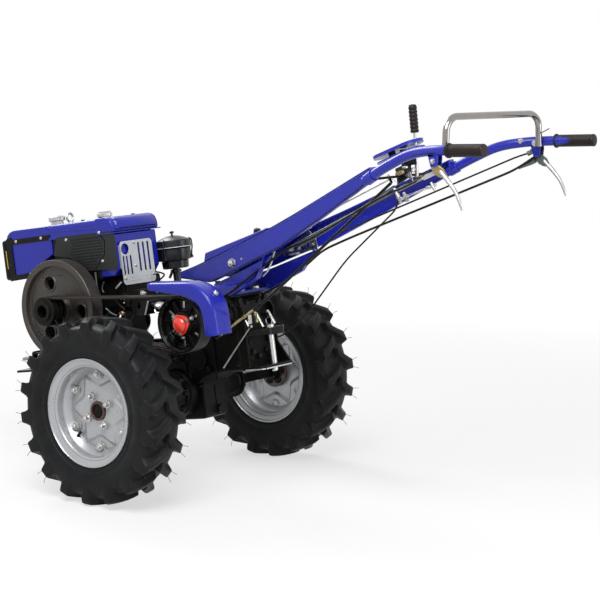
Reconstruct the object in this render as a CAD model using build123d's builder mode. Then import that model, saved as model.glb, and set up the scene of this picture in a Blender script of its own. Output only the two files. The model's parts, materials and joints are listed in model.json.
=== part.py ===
from build123d import *
import os
from math import atan2, cos, radians, sin, tan

# Two-wheel walking tractor, millimetres.  Every piece is drawn in a level frame: origin on the
# wheel axle, +X towards the engine, +Y to the left, +Z up.  At the end the machine leans nose
# down about the axle until its front stand is on the floor.

nose_down = 9.0             # lean of the parked machine, degrees
tyre_radius = 320.0
tyre_width = 165.0
track = 950.0               # between the tyres' middle planes
fit_gap = 0.3               # seat of one loose piece on another
run_gap = 0.05              # radial play of a turning shaft

rim_seat = 150.0            # radius of the bead seats
rim_flange = 182.0
rim_half = 62.0             # half width between the rim flanges
sheet = 4.0                 # pressed wheel sheet
hub_bore = 34.0
hub_flange = 60.0
axle_square = 34.0          # square drive sleeve between gearbox and wheel
journal = 22.0              # radius of the axle journal

case_half = 85.0            # half width of the gearbox
case_low = 62.0             # underside of its rear part
case_top = 330.0
case_rear = -317.0
leg_left, leg_right = 70.0, -56.0   # sides of the final drive leg round the axle
leg_low, leg_rear, leg_front = -100.0, -110.0, 88.0
boss_radius = 85.0          # round bosses that carry the axle housings
drive_end = 225.0           # outer end of the axle housings

rail_low = 110.0
rail_top = 185.0
rail_inner = 90.0
rail_outer = 130.0
rail_rear = -80.0
rail_front = 660.0
rail_wall = 6.0

crank_x, crank_z = 372.0, 345.0
clutch_x, clutch_z = -262.0, 258.0
flywheel_radius = 180.0
flywheel_inner = 207.0
flywheel_outer = 262.0
web_holes, hole_turn = 3, 69.0      # round holes in its web, the first one's angle from +X
hole_reach, hole_radius = 103.0, 25.0
engine_left = 195.0
pulley_radius = 52.0
clutch_radius = 98.0
belt_first, belt_pitch, belt_count = 276.0, 18.0, 3
belt_width, belt_depth = 13.0, 9.0
pulley_outer = 335.0
clutch_outer = 322.0

tank_left, tank_right = 185.0, -130.0
hood_low, hood_top = 603.0, 650.0
hopper_left, hopper_right = 186.0, -110.0
hopper_rear, hopper_front = 200.0, 426.0
cylinder_left, cylinder_right = 150.0, -30.0
cylinder_rear, cylinder_top = 112.0, 430.0
head_rear, head_low, head_top = 60.0, 312.0, 384.0

arm_start = (-77.0, 65.0)   # outer face of the left arm at its front, x and y
arm_finish = (-1067.0, 241.0)
arm_thick = 36.0
tube_radius = 16.0
hitch_x = -390.0            # towing pin
hitch_pin_radius = 11.0
hitch_half = 85.0           # half width of the hitch bracket
jaw_half = 70.0             # half width of its upper plate
jaw_low, jaw_high = 76.0, 190.0     # the gap between the two plates
jaw_plate = 12.0
stand_pivot = (690.0, 82.0)
stand_foot_x = 765.0
stand_bar = 11.0            # radius of the stand's bar
stand_half = 60.0


def side_plane(y):
    # Upright plane at Y = y, x forward and y up, extruding towards -Y.
    return Plane.XZ.offset(-y)


def side_block(outline, y_high, y_low, corner=0.0):
    # Flat outline in X and Z, as thick as from y_low to y_high.
    with BuildPart() as block:
        with BuildSketch(side_plane(y_high)) as side:
            Polygon(*outline, align=None)
            if corner:
                fillet(side.vertices(), corner)
        extrude(amount=y_high - y_low)
    return block


def round_bar(x, z, y_low, y_high, radius, mode=Mode.ADD):
    # Cylinder along Y, joined to the piece being made.
    with Locations(Location((x, (y_low + y_high) / 2, z), (90, 0, 0))):
        Cylinder(radius, y_high - y_low, mode=mode)


def brick(x_low, x_high, y_low, y_high, z_low, z_high, mode=Mode.ADD):
    # Box between two corners, joined to the piece being made.
    with Locations(((x_low + x_high) / 2, (y_low + y_high) / 2, (z_low + z_high) / 2)):
        Box(x_high - x_low, y_high - y_low, z_high - z_low, mode=mode)


def turned(profile, x, z):
    # Solid turned about an axis along Y through (x, z); the profile is (y, radius) pairs.
    with BuildPart() as piece:
        with BuildSketch(Plane.YZ.offset(x)):
            Polygon(*[(y, z + radius) for y, radius in profile], align=None)
        revolve(axis=Axis((x, 0, z), (0, 1, 0)))
    return piece


def mirrored(piece):
    # The same piece on the other side of the machine.
    with BuildPart() as twin:
        mirror(piece.part, about=Plane.XZ)
    return twin


def paired(piece):
    # The piece and its twin on the other side, as two loose solids of one node.
    with BuildPart() as pair:
        add(piece.part)
        mirror(about=Plane.XZ)
    return pair


def route_radii(points):
    # Largest arc that each corner's two runs leave room for.
    runs = [Vector(*end) - Vector(*start) for start, end in zip(points, points[1:])]
    radii = []
    for before, after in zip(runs, runs[1:]):
        half_turn = radians(before.get_angle(after)) / 2
        radii.append(0.45 * min(before.length, after.length) / tan(half_turn))
    return radii


def rod(points, radius):
    # Round rod, tube or cable along straight runs joined by arcs.
    with BuildPart() as piece:
        with BuildLine() as route:
            if len(points) == 2:
                Line(*points)
            else:
                FilletPolyline(*points, radius=route_radii(points))
        start = Plane(origin=route.line @ 0, z_dir=route.line % 0)
        with BuildSketch(start):
            Circle(radius)
        sweep(path=route.line)
    return piece


# ------------------------------------------------------------------ wheels
wheel_y = track / 2

with BuildPart() as left_tyre:
    half = tyre_width / 2
    bead = rim_half - fit_gap
    seat = rim_seat + fit_gap
    shoulder = tyre_radius - 32
    belly = (rim_flange + shoulder) / 2
    with BuildSketch(Plane((0, wheel_y, 0), x_dir=(0, 1, 0), z_dir=(1, 0, 0))):
        with BuildLine():
            ThreePointArc((bead, rim_flange + 4), (half - 1, belly), (half - 4, shoulder))
            Polyline((bead, seat), (bead, rim_flange + 4))
            Polyline((half - 4, shoulder), (half, shoulder + 12), (half - 2, tyre_radius - 5))
            ThreePointArc((half - 2, tyre_radius - 5), (0, tyre_radius), (2 - half, tyre_radius - 5))
            Polyline((2 - half, tyre_radius - 5), (-half, shoulder + 12), (4 - half, shoulder))
            ThreePointArc((-bead, rim_flange + 4), (1 - half, belly), (4 - half, shoulder))
            Polyline((-bead, rim_flange + 4), (-bead, seat), (14 - bead, seat), (14 - bead, rim_flange + 6))
            ThreePointArc((14 - bead, rim_flange + 6), (16 - half, belly), (20 - half, shoulder - 12))
            ThreePointArc((20 - half, shoulder - 12), (0, shoulder), (half - 20, shoulder - 12))
            ThreePointArc((bead - 14, rim_flange + 6), (half - 16, belly), (half - 20, shoulder - 12))
            Polyline((bead - 14, rim_flange + 6), (bead - 14, seat), (bead, seat))
        make_face()
    revolve(axis=Axis.Y)

rim_outside = [(rim_half, rim_flange), (rim_half, rim_seat), (30, rim_seat - 2), (22, 138)]
rim_inside = [(20, 134), (28, rim_seat - 6), (rim_half + sheet, rim_seat - sheet),
              (rim_half + sheet, rim_flange)]
rim_section = (rim_outside + [(-y, r) for y, r in reversed(rim_outside)]
               + [(-y, r) for y, r in reversed(rim_inside)] + rim_inside)

with BuildPart() as left_rim:
    add(turned([(wheel_y + y, r) for y, r in rim_section], 0, 0).part)
    round_bar(0, 0, wheel_y - 3, wheel_y + 3, 136)
    round_bar(0, 0, wheel_y - 3, wheel_y + 3, hub_bore, Mode.SUBTRACT)

with BuildPart() as left_hub:
    hub_face = wheel_y - 3
    round_bar(0, 0, hub_face - 10, hub_face, hub_flange)
    round_bar(0, 0, hub_face, hub_face + 24, hub_bore - fit_gap)
    brick(-axle_square / 2, axle_square / 2, drive_end + 6, hub_face, -axle_square / 2, axle_square / 2)
    round_bar(0, 0, drive_end - 70, drive_end + 10, journal)
    round_bar(0, 0, hub_face + 4, hub_face + 30, 24, Mode.SUBTRACT)

right_tyre = mirrored(left_tyre)
right_rim = mirrored(left_rim)
right_hub = mirrored(left_hub)

# ------------------------------------------------------------------ gearbox and axle housings
bulge_half = case_half + 20
case_outline = [(leg_rear - 20, 25), (leg_front, 25), (leg_front, 160), (30, 225), (0, 300),
                (-60, case_top), (case_rear + 25, case_top), (case_rear, 300), (case_rear, case_low),
                (leg_rear - 90, case_low)]
leg_outline = [(leg_rear, leg_low), (leg_front - 28, leg_low), (leg_front, leg_low + 40), (leg_front, 60),
               (leg_rear - 20, 60), (leg_rear, 20)]

turret_x = -180.0           # gear shift turret on the case top
with BuildPart() as gearbox:
    add(side_block(case_outline, case_half, -case_half, 18).part)
    add(side_block(leg_outline, leg_left, leg_right, 12).part)
    round_bar(0, 0, -bulge_half, bulge_half, boss_radius)
    with Locations((turret_x, 0, case_top + 13)):
        Cylinder(24, 26)
    with Locations((turret_x, 0, case_top + 34)):
        Cylinder(9, 32)

with BuildPart() as axle_housing:
    round_bar(0, 0, bulge_half, bulge_half + 12, 76)
    with Locations(Location((0, (bulge_half + 12 + drive_end) / 2, 0), (-90, 0, 0))):
        Cone(62, 46, drive_end - bulge_half - 12)
    round_bar(0, 0, drive_end - 75, drive_end, journal + run_gap, Mode.SUBTRACT)

axle_housings = paired(axle_housing)

release_y = 224.0           # inner face of the clutch release arm
with BuildPart() as clutch_housing:
    round_bar(clutch_x, clutch_z, case_half, case_half + 12, 62)
    round_bar(clutch_x, clutch_z, case_half, belt_first - 30, 46)
    add(side_block([(-290, 250), (-275, 225), (-345, 196), (-356, 208)], 232, release_y).part)
    round_bar(clutch_x, clutch_z, belt_first - 30, clutch_outer, 20)

crank_arm_x, crank_arm_z = -160.0, 306.0
with BuildPart() as steering_arms:
    # One bell crank on each side of the gearbox, pulled by the handle levers.
    for side in (1, -1):
        shaft_low, shaft_high = sorted((side * case_half, side * 124))
        round_bar(crank_arm_x, crank_arm_z, shaft_low, shaft_high, 12)
        blade_low, blade_high = sorted((side * 114, side * 120))
        brick(crank_arm_x - 50, crank_arm_x + 10, blade_low, blade_high, crank_arm_z - 8, crank_arm_z + 8)

# ------------------------------------------------------------------ chassis
channel = [(rail_inner, rail_low), (rail_outer, rail_low), (rail_outer, rail_low + rail_wall),
           (rail_inner + rail_wall, rail_low + rail_wall), (rail_inner + rail_wall, rail_top - rail_wall),
           (rail_outer, rail_top - rail_wall), (rail_outer, rail_top), (rail_inner, rail_top)]

with BuildPart() as rail:
    with BuildSketch(Plane.YZ.offset(rail_rear)):
        Polygon(*channel, align=None)
    extrude(amount=rail_front - rail_rear)

chassis_rails = paired(rail)

plate_front = rail_front + 8
tongue_reach, tongue_low, tongue_half = 853.0, 107.0, 60.0
tow_bore = 12.5
with BuildPart() as front_hitch:
    brick(rail_front, plate_front, -rail_outer, rail_outer, rail_low - 5, rail_top + 5)
    brick(plate_front, tongue_reach, -tongue_half, tongue_half, tongue_low, tongue_low + 8)
    for side in (1, -1):
        low, high = sorted((side * (tongue_half - 8), side * tongue_half))
        brick(plate_front, plate_front + 90, low, high, tongue_low + 8, 150)
    with Locations((tongue_reach - 32, 0, tongue_low + 4)):
        Cylinder(tow_bore, 8, mode=Mode.SUBTRACT)

loop_z = 158.0
front_loop = rod([(plate_front + fit_gap, 55, loop_z), (806, 55, loop_z), (806, -55, loop_z),
                  (plate_front + fit_gap, -55, loop_z)], 6.0)

# Stand: a folding U of bar under the front tongue.
lean = radians(nose_down)
stand_foot = (stand_foot_x, (stand_bar - tyre_radius + stand_foot_x * sin(lean)) / cos(lean))
pivot_x, pivot_z = stand_pivot
stand_eye = 16.0
with BuildPart() as stand_bracket:
    for side in (1, -1):
        low, high = sorted((side * (stand_half + 16), side * (stand_half + 22)))
        brick(pivot_x - 20, pivot_x + 20, low, high, pivot_z - 20, tongue_low)
        round_bar(pivot_x, pivot_z, *sorted((side * (stand_half - 12), side * (stand_half + 24))), 8)
    brick(pivot_x - 20, pivot_x + 20, -stand_half - 22, stand_half + 22, tongue_low - 6, tongue_low)

with BuildPart() as front_stand:
    for side in (1, -1):
        round_bar(pivot_x, pivot_z, *sorted((side * (stand_half - 9), side * (stand_half + 9))), stand_eye)
        add(rod([(pivot_x, side * stand_half, pivot_z), (stand_foot[0], side * stand_half, stand_foot[1])],
                9.0).part)
    round_bar(*stand_foot, -stand_half - 25, stand_half + 25, stand_bar)
    for side in (1, -1):
        hole = sorted((side * (stand_half - 12), side * (stand_half + 12)))
        round_bar(pivot_x, pivot_z, *hole, 8 + run_gap, Mode.SUBTRACT)

# ------------------------------------------------------------------ engine
with BuildPart() as engine_block:
    brick(262, 540, -95, engine_left, rail_top, 466)
    brick(hopper_rear, hopper_front, hopper_right, hopper_left, cylinder_top, hood_low)
    brick(cylinder_rear, 262, cylinder_right, cylinder_left, 325, cylinder_top)
    round_bar(crank_x, crank_z, engine_left, flywheel_outer + 58, 22)

with BuildPart() as cylinder_head:
    brick(head_rear, cylinder_rear, cylinder_right - 15, cylinder_left, head_low, head_top)
    fillet(cylinder_head.edges().filter_by(Axis.Y), 8)

flywheel_section = [(flywheel_inner, 22 + fit_gap), (flywheel_outer, 22 + fit_gap), (flywheel_outer, 46),
                    (242, 52), (242, 148), (flywheel_outer, 156), (flywheel_outer, flywheel_radius),
                    (flywheel_inner, flywheel_radius), (flywheel_inner, 156), (224, 148), (224, 52),
                    (flywheel_inner, 46)]
with BuildPart() as flywheel:
    add(turned(flywheel_section, crank_x, crank_z).part)
    for step in range(web_holes):
        angle = radians(hole_turn + 360 * step / web_holes)
        round_bar(crank_x + hole_reach * cos(angle), crank_z + hole_reach * sin(angle), flywheel_inner,
                  flywheel_outer, hole_radius, Mode.SUBTRACT)

belt_lines = [belt_first + belt_pitch * index for index in range(belt_count)]
groove = belt_depth + fit_gap
with BuildPart() as engine_pulley:
    round_bar(crank_x, crank_z, flywheel_outer, pulley_outer, 35)
    round_bar(crank_x, crank_z, flywheel_outer, pulley_outer - 8, pulley_radius)
    round_bar(crank_x, crank_z, flywheel_outer, pulley_outer, 22 + fit_gap, Mode.SUBTRACT)
    for line in belt_lines:
        add(turned([(line - belt_width / 2 - fit_gap, pulley_radius + 1),
                    (line - belt_width / 2 - fit_gap, pulley_radius - groove),
                    (line + belt_width / 2 + fit_gap, pulley_radius - groove),
                    (line + belt_width / 2 + fit_gap, pulley_radius + 1)], crank_x, crank_z).part,
            mode=Mode.SUBTRACT)

with BuildPart() as clutch_pulley:
    round_bar(clutch_x, clutch_z, belt_first - 20, clutch_outer, clutch_radius)
    round_bar(clutch_x, clutch_z, belt_first + 16, clutch_outer, clutch_radius - 14, Mode.SUBTRACT)
    round_bar(clutch_x, clutch_z, belt_first - 20, clutch_outer, 40)
    round_bar(clutch_x, clutch_z, belt_first - 20, clutch_outer, 20 + fit_gap, Mode.SUBTRACT)
    for line in belt_lines:
        add(turned([(line - belt_width / 2 - fit_gap, clutch_radius + 1),
                    (line - belt_width / 2 - fit_gap, clutch_radius - groove),
                    (line + belt_width / 2 + fit_gap, clutch_radius - groove),
                    (line + belt_width / 2 + fit_gap, clutch_radius + 1)], clutch_x, clutch_z).part,
            mode=Mode.SUBTRACT)

with BuildPart() as clutch_cap:
    round_bar(clutch_x, clutch_z, clutch_outer, clutch_outer + 20, 29)
    fillet(clutch_cap.faces().sort_by(Axis.Y)[-1].edges(), 12)


def belt_hull(inset):
    # Outline of a belt's run round both pulleys, drawn in by inset.
    with BuildSketch() as run:
        with Locations((crank_x, crank_z)):
            Circle(pulley_radius - inset)
        with Locations((clutch_x, clutch_z)):
            Circle(clutch_radius - inset)
        make_hull()
    return run.sketch


with BuildPart() as drive_belts:
    for line in belt_lines:
        with BuildSketch(side_plane(line + belt_width / 2)):
            add(belt_hull(0))
            add(belt_hull(belt_depth), mode=Mode.SUBTRACT)
        extrude(amount=belt_width)

# ------------------------------------------------------------------ belt guard
guard_outer_y, guard_inner_y = 350.0, 270.0
guard_sheet = 3.0
guard_top = [(-165, 408), (-350, 397), (-403, 372), (-434, 336), (-445, 298), (-447, 214)]
guard_lip = [(-411, 211), (-400, 221), (-400, 290), (-385, 328), (-330, 356), (-170, 386)]
guard_under = [(x + dx, z + dz) for (x, z), (dx, dz) in
               zip(guard_top, [(0, -guard_sheet), (0.6, -guard_sheet), (1.8, -2.4), (2.7, -1.5),
                               (guard_sheet, -0.4), (guard_sheet, 0)])]
with BuildPart() as belt_guard:
    add(side_block(guard_top + guard_lip, guard_outer_y, guard_outer_y - guard_sheet).part)
    add(side_block(guard_top + list(reversed(guard_under)), guard_outer_y - 1, guard_inner_y).part)
    add(side_block(guard_top + guard_lip, guard_inner_y + guard_sheet, guard_inner_y).part)
    brick(-372, -352, 106, guard_inner_y + 1, 366, 372)

# ------------------------------------------------------------------ tanks, hood and covers
tank_outline = [(668, 475), (574, 483), (432, 542), (432, 648), (655, 648), (668, 614)]
with BuildPart() as radiator_tank:
    add(side_block(tank_outline, tank_left, tank_right).part)
    fillet(radiator_tank.edges().filter_by(Axis.Y).sort_by(Axis.Z)[-2:], 5)

with BuildPart() as tank_cradle:
    # Sheet cradle that carries the water tank on the front of the crankcase.
    add(side_block([(540, 200), (548, 200), (548, 493.5), (540, 496.8)], 120, -90).part)
    brick(548, 600, -90, -84, 400, 478)
    brick(548, 600, 114, 120, 400, 478)

fuel_right, fuel_left, fuel_rear = -52.0, 188.0, 114.0
muffler_top = hood_low - 12
with BuildPart() as fuel_tank:
    brick(fuel_rear, hopper_front + 4, fuel_right, fuel_left, hood_low, hood_top)
    fillet(fuel_tank.edges().filter_by(Axis.X).group_by(Axis.Z)[-1], 14)
    fillet(fuel_tank.edges().filter_by(Axis.Y).sort_by(Axis.X)[0], 6)
    brick(fuel_rear, hopper_rear - fit_gap, fuel_right, hopper_left, muffler_top + fit_gap, hood_low)

with BuildPart() as filler_caps:
    for x, top, tall in ((524, 648, 36), (277, hood_top, 20)):
        with Locations((x, 50, top + (tall - 12) / 2)):
            Cylinder(22, tall - 12)
        with Locations((x, 50, top + tall - 6)):
            Cylinder(28, 12)

with BuildPart() as lifting_eye:
    with Locations((497, 8, 648 + 3)):
        Cylinder(14, 6)
    with BuildSketch(Plane.YZ.offset(491)):
        with Locations((8, 672)):
            Circle(20)
            Circle(11, mode=Mode.SUBTRACT)
    extrude(amount=12)

grille_outline = [(398, 602), (422, 537), (342, 523), (265, 470), (111, 465), (109, 589), (130, 602)]
side_grille = side_block(grille_outline, hopper_left + 5, hopper_left)

muffler_right = -30.0
muffler_outline = [(cylinder_rear, 461), (cylinder_rear, muffler_top), (hopper_rear - fit_gap, muffler_top),
                   (hopper_rear - fit_gap, cylinder_top + 10), (cylinder_rear + 21, cylinder_top + 10)]
with BuildPart() as muffler_box:
    add(side_block(muffler_outline, hopper_left, muffler_right).part)
    with Locations((cylinder_rear + 45, (cylinder_left + cylinder_right) / 2, cylinder_top + 5)):
        Cylinder(24, 10)

guard_right, guard_left = 6.0, 174.0
with BuildPart() as muffler_guard:
    # Slotted heat guard that stands off the rear face of the muffler box.
    brick(cylinder_rear - 8, cylinder_rear - 6, guard_right, guard_left, 404, 560)
    for y in (guard_right, guard_left - 2):
        brick(cylinder_rear - 7, cylinder_rear, y, y + 2, 465, 560)

cleaner_x, cleaner_y, cleaner_radius = 99.0, -102.0, 70.0
with BuildPart() as air_cleaner:
    with BuildSketch(Plane.XZ.offset(-cleaner_y)):
        with BuildLine():
            Polyline((cleaner_x, 574), (cleaner_x, 437), (cleaner_x + 40, 437), (cleaner_x + 40, 441),
                     (cleaner_x + 56, 443), (cleaner_x + 62, 461), (cleaner_x + cleaner_radius, 463),
                     (cleaner_x + cleaner_radius, 543))
            ThreePointArc((cleaner_x + cleaner_radius, 543), (cleaner_x + 50, 556), (cleaner_x + 12, 564))
            Polyline((cleaner_x + 12, 564), (cleaner_x + 12, 574), (cleaner_x, 574))
        make_face()
    revolve(axis=Axis((cleaner_x, cleaner_y, 0), (0, 0, 1)))

intake_radius = 14.0
intake_z = (head_low + head_top) / 2
intake_pipe = rod([(cleaner_x, cleaner_y, 437 - fit_gap), (cleaner_x, cleaner_y, intake_z),
                   (cleaner_x, cylinder_right - 15 - fit_gap, intake_z)], intake_radius)

# ------------------------------------------------------------------ handles
spread = atan2(arm_finish[1] - arm_start[1], arm_start[0] - arm_finish[0])


def arm_plane(depth):
    # Plane along the left arm's outer face, moved inwards by depth; x is measured from arm_start.
    along = Vector(cos(spread), -sin(spread), 0)
    inward = Vector(-sin(spread), -cos(spread), 0)
    return Plane(origin=Vector(*arm_start, 0) + inward * depth, x_dir=along, z_dir=inward)


def along_arm(outline):
    # Level-frame x and z of points on the arm's face, as distances along the arm.
    return [((x - arm_start[0]) / cos(spread), z) for x, z in outline]


def arm_inside(x):
    # Y of the left arm's inner face.
    return arm_start[1] + (arm_start[0] - x) * tan(spread) - arm_thick / cos(spread)


def arm_height(edge, x):
    # Z at x on an edge of the arm, whose corners run forwards.
    for (x_far, z_far), (x_near, z_near) in zip(edge, edge[1:]):
        if x_far <= x <= x_near:
            return z_far + (z_near - z_far) * (x - x_far) / (x_near - x_far)


arm_top = [(-62, 426), (-153, 443), (-324, 482), (-559, 542), (-686, 578), (-1068, 696)]
arm_bottom = [(-1076, 648), (-815, 545), (-599, 466), (-456, 430), (-363, 405), (-227, 373), (-60, 398)]
grip_start, grip_end = (-1420, 317, 711), (-1556, 331, 696)
tube_route = [(-1040, 232, 655), (-1115, 246, 683), (-1215, 256, 713), (-1262, 266, 719.5),
              (-1328, 285, 720), (-1390, 306, 715), (-1545, 330, 697)]
handle_tubes = paired(rod(tube_route, tube_radius))

with BuildPart() as left_arm:
    with BuildSketch(arm_plane(0)):
        Polygon(*along_arm(arm_top + arm_bottom), align=None)
    extrude(amount=arm_thick)
    add(rod([(-1035, 231, 653)] + tube_route[1:3], tube_radius + fit_gap).part, mode=Mode.SUBTRACT)

with BuildPart() as grip:
    add(rod([grip_start, grip_end], 20.0).part)
    add(rod([grip_start, (-1426, 317.6, 710.4)], 23.0).part)
    add(rod([tube_route[-2], (-1547, 330.2, 696.8)], tube_radius + fit_gap).part, mode=Mode.SUBTRACT)

with BuildPart() as lever:
    brick(-1362, -1332, 292, 298, 668, 702)
    add(rod([(-1350, 304, 690), (-1382, 305, 655), (-1414, 309, 600), (-1431, 312, 565), (-1438, 315, 528)],
            7.0).part)
    round_bar(-1348, 688, 298, 304, 9)

right_arm = mirrored(left_arm)
hand_grips = paired(grip)
hand_levers = paired(lever)

# Arm rest: its legs stand against the inner sides of the tubes.
armrest_hoop = rod([(-1380, 274, 700), (-1394, 274, 800), (-1397, 225, 814), (-1397, -225, 814),
                    (-1394, -274, 800), (-1380, -274, 700)], 11.0)

with BuildPart() as handle_base:
    # Two side plates under the arms on a floor plate that is bolted to the gearbox top.
    plate_top = [(x, arm_height(arm_bottom, x) - fit_gap) for x in (-229, -363, -456, -545)]
    plate_outline = plate_top + [(-505, 425), (-468, 380), (-330, case_top), (-225, case_top)]
    with BuildSketch(arm_plane(12)):
        Polygon(*along_arm(plate_outline), align=None)
    extrude(amount=8)
    mirror(about=Plane.XZ)
    with BuildSketch(Plane.XY.offset(case_top)):
        Polygon((-227, -72), (-227, 72), (-330, 90), (-330, -90), align=None)
    extrude(amount=8)

with BuildPart() as arm_cover:
    # Tapering cover on top of both arms, held by a hand knob.
    cover_under = [(x, arm_height(arm_top[::-1], x) + fit_gap) for x in (-545, -324, -196)]
    with BuildSketch(side_plane(200)):
        Polygon(*cover_under, (-208, 484), (-545, 546), align=None)
    extrude(amount=400)
    with BuildSketch(Plane.XY.offset(440)):
        Polygon(*[(x, side * (arm_inside(x) + arm_thick - 6)) for x, side in
                  ((-545, 1), (-196, 1), (-196, -1), (-545, -1))], align=None)
    extrude(amount=120, mode=Mode.INTERSECT)

brace_z = 655.0
with BuildPart() as arm_brace:
    with BuildSketch(Plane.XY.offset(brace_z)):
        Polygon(*[(x, side * (arm_inside(x) - fit_gap)) for x, side in
                  ((-1050, 1), (-1010, 1), (-1010, -1), (-1050, -1))], align=None)
    extrude(amount=8)

lever_radius = 6.0
with BuildPart() as gear_tray:
    tray_plane = Plane((-1020, 0, 742), x_dir=(cos(0.23), 0, -sin(0.23)), z_dir=(sin(0.23), 0, cos(0.23)))
    with BuildSketch(tray_plane):
        SlotOverall(190, 92)
        with Locations((-64, 0)):
            SlotOverall(46, 16, mode=Mode.SUBTRACT)
    extrude(amount=6)
    brick(-1050, -1036, -18, 18, brace_z + 8, 751)
    brick(-1090, -1040, lever_radius + fit_gap, lever_radius + 6, 690, 714)

with BuildPart() as gear_lever:
    add(rod([(-1078, 0, 636), (-1092, 0, 802)], lever_radius).part)
    add(rod([(-1091.8, 0, 800), (-1095, 0, 888)], 12.0).part)

# ------------------------------------------------------------------ control rods and cables
shift_rod = rod([(-1071, 0, 640), (turret_x - 11.2, 0, 366)], 5.0)
rod_radius = 5.0
clutch_rod = rod([(-1059, 120, 640), (-548, 205, 303), (-350, release_y - rod_radius - fit_gap, 205)],
                 rod_radius)
cable_end = (crank_arm_x - 50.8, crank_arm_z)
left_route = [(-1350, 288, 668), (-1290, 280, 640), (-1182, 218, 622), (-1066, 182, 603), (-726, 150, 490),
              (-480, 134, 378), (-330, 122, 318), (cable_end[0], 117, cable_end[1])]
right_route = [(-1350, -288, 668), (-1276, -280, 634), (-681, -136, 472), (-480, -134, 378),
               (-330, -122, 318), (cable_end[0], -117, cable_end[1])]
upper_route = [(-1338, -288.7, 684), (-1290, -279, 676), (-703, -110, 509), (-612, -120.2, 487)]
brake_radius = 3.0
case_side = -case_half - brake_radius - fit_gap
brake_route = [(-1045, 60, 653.5), (-1010, 20, 563), (-678, -100, 403), (-476, -100, 224), (-380, -94, 165),
               (-300, case_side, 150)]
with BuildPart() as control_cables:
    for cable in (left_route, right_route):
        add(rod(cable, 4.0).part)
    add(rod(brake_route, brake_radius).part)
    add(rod(upper_route, brake_radius).part)

# ------------------------------------------------------------------ rear hitch
hitch_back = case_rear - 10
hitch_rear = hitch_x - 2 * hitch_pin_radius
bracket_top = 290.0
cheek_reach, cheek_wall = 24.0, 7.0
jaw_top = jaw_high + jaw_plate
with BuildPart() as hitch_bracket:
    # Back plate with two cheeks, a wide lower plate and a narrower upper one.
    brick(hitch_back, case_rear, -hitch_half, hitch_half, jaw_low - jaw_plate, bracket_top)
    for side in (1, -1):
        low, high = sorted((side * (hitch_half - cheek_wall), side * hitch_half))
        brick(hitch_back - cheek_reach, hitch_back, low, high, jaw_low, bracket_top)
    brick(hitch_rear, hitch_back, -hitch_half, hitch_half, jaw_low - jaw_plate, jaw_low)
    brick(hitch_rear, hitch_back, -jaw_half, jaw_half, jaw_high, jaw_top)
    with Locations((hitch_x, 0, (jaw_low + jaw_high) / 2)):
        Cylinder(hitch_pin_radius + fit_gap, 2 * (jaw_high - jaw_low), mode=Mode.SUBTRACT)

pin_low, pin_head = 50.0, 12.0
with BuildPart() as hitch_pin:
    with Locations((hitch_x, 0, (pin_low + jaw_top) / 2)):
        Cylinder(hitch_pin_radius, jaw_top - pin_low)
    with Locations((hitch_x, 0, jaw_top + fit_gap + pin_head / 2)):
        Cylinder(hitch_pin_radius + 5, pin_head)
    with Locations((hitch_x, 0, jaw_top)):
        Cylinder(hitch_pin_radius, pin_head)

# ------------------------------------------------------------------ parked stance and files
pieces = {
    "left_tyre": left_tyre, "right_tyre": right_tyre, "left_rim": left_rim, "right_rim": right_rim,
    "left_hub": left_hub, "right_hub": right_hub, "gearbox": gearbox, "axle_housings": axle_housings,
    "clutch_housing": clutch_housing, "steering_arms": steering_arms, "chassis_rails": chassis_rails,
    "front_hitch": front_hitch, "front_loop": front_loop, "stand_bracket": stand_bracket,
    "front_stand": front_stand, "engine_block": engine_block, "cylinder_head": cylinder_head,
    "flywheel": flywheel, "engine_pulley": engine_pulley, "clutch_pulley": clutch_pulley,
    "clutch_cap": clutch_cap, "drive_belts": drive_belts, "belt_guard": belt_guard,
    "radiator_tank": radiator_tank, "tank_cradle": tank_cradle, "fuel_tank": fuel_tank,
    "filler_caps": filler_caps, "lifting_eye": lifting_eye, "side_grille": side_grille,
    "muffler_box": muffler_box, "muffler_guard": muffler_guard, "air_cleaner": air_cleaner,
    "intake_pipe": intake_pipe, "left_arm": left_arm, "right_arm": right_arm,
    "handle_tubes": handle_tubes, "hand_grips": hand_grips, "hand_levers": hand_levers,
    "armrest_hoop": armrest_hoop, "handle_base": handle_base, "arm_cover": arm_cover,
    "arm_brace": arm_brace, "gear_tray": gear_tray, "gear_lever": gear_lever, "shift_rod": shift_rod,
    "clutch_rod": clutch_rod, "control_cables": control_cables, "hitch_bracket": hitch_bracket,
    "hitch_pin": hitch_pin,
}

leaned = Location((0, 0, tyre_radius), (0, nose_down, 0))
boxes = [piece.part.moved(leaned).bounding_box() for piece in pieces.values()]
axle_x = round(-(min(box.min.X for box in boxes) + max(box.max.X for box in boxes)) / 2, 1)
parked = Location((axle_x, 0, tyre_radius), (0, nose_down, 0))

os.makedirs("parts", exist_ok=True)
for label, piece in pieces.items():
    piece.part.move(parked)
    piece.part.label = label
    export_step(piece.part, f"parts/{label}.step")

print("axle at x =", axle_x, "length", round(2 * (axle_x + max(box.max.X for box in boxes)), 1))
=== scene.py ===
import json
from math import cos, pi, radians, sin

import bmesh
import bpy
import numpy as np
from mathutils import Matrix, Vector

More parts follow.
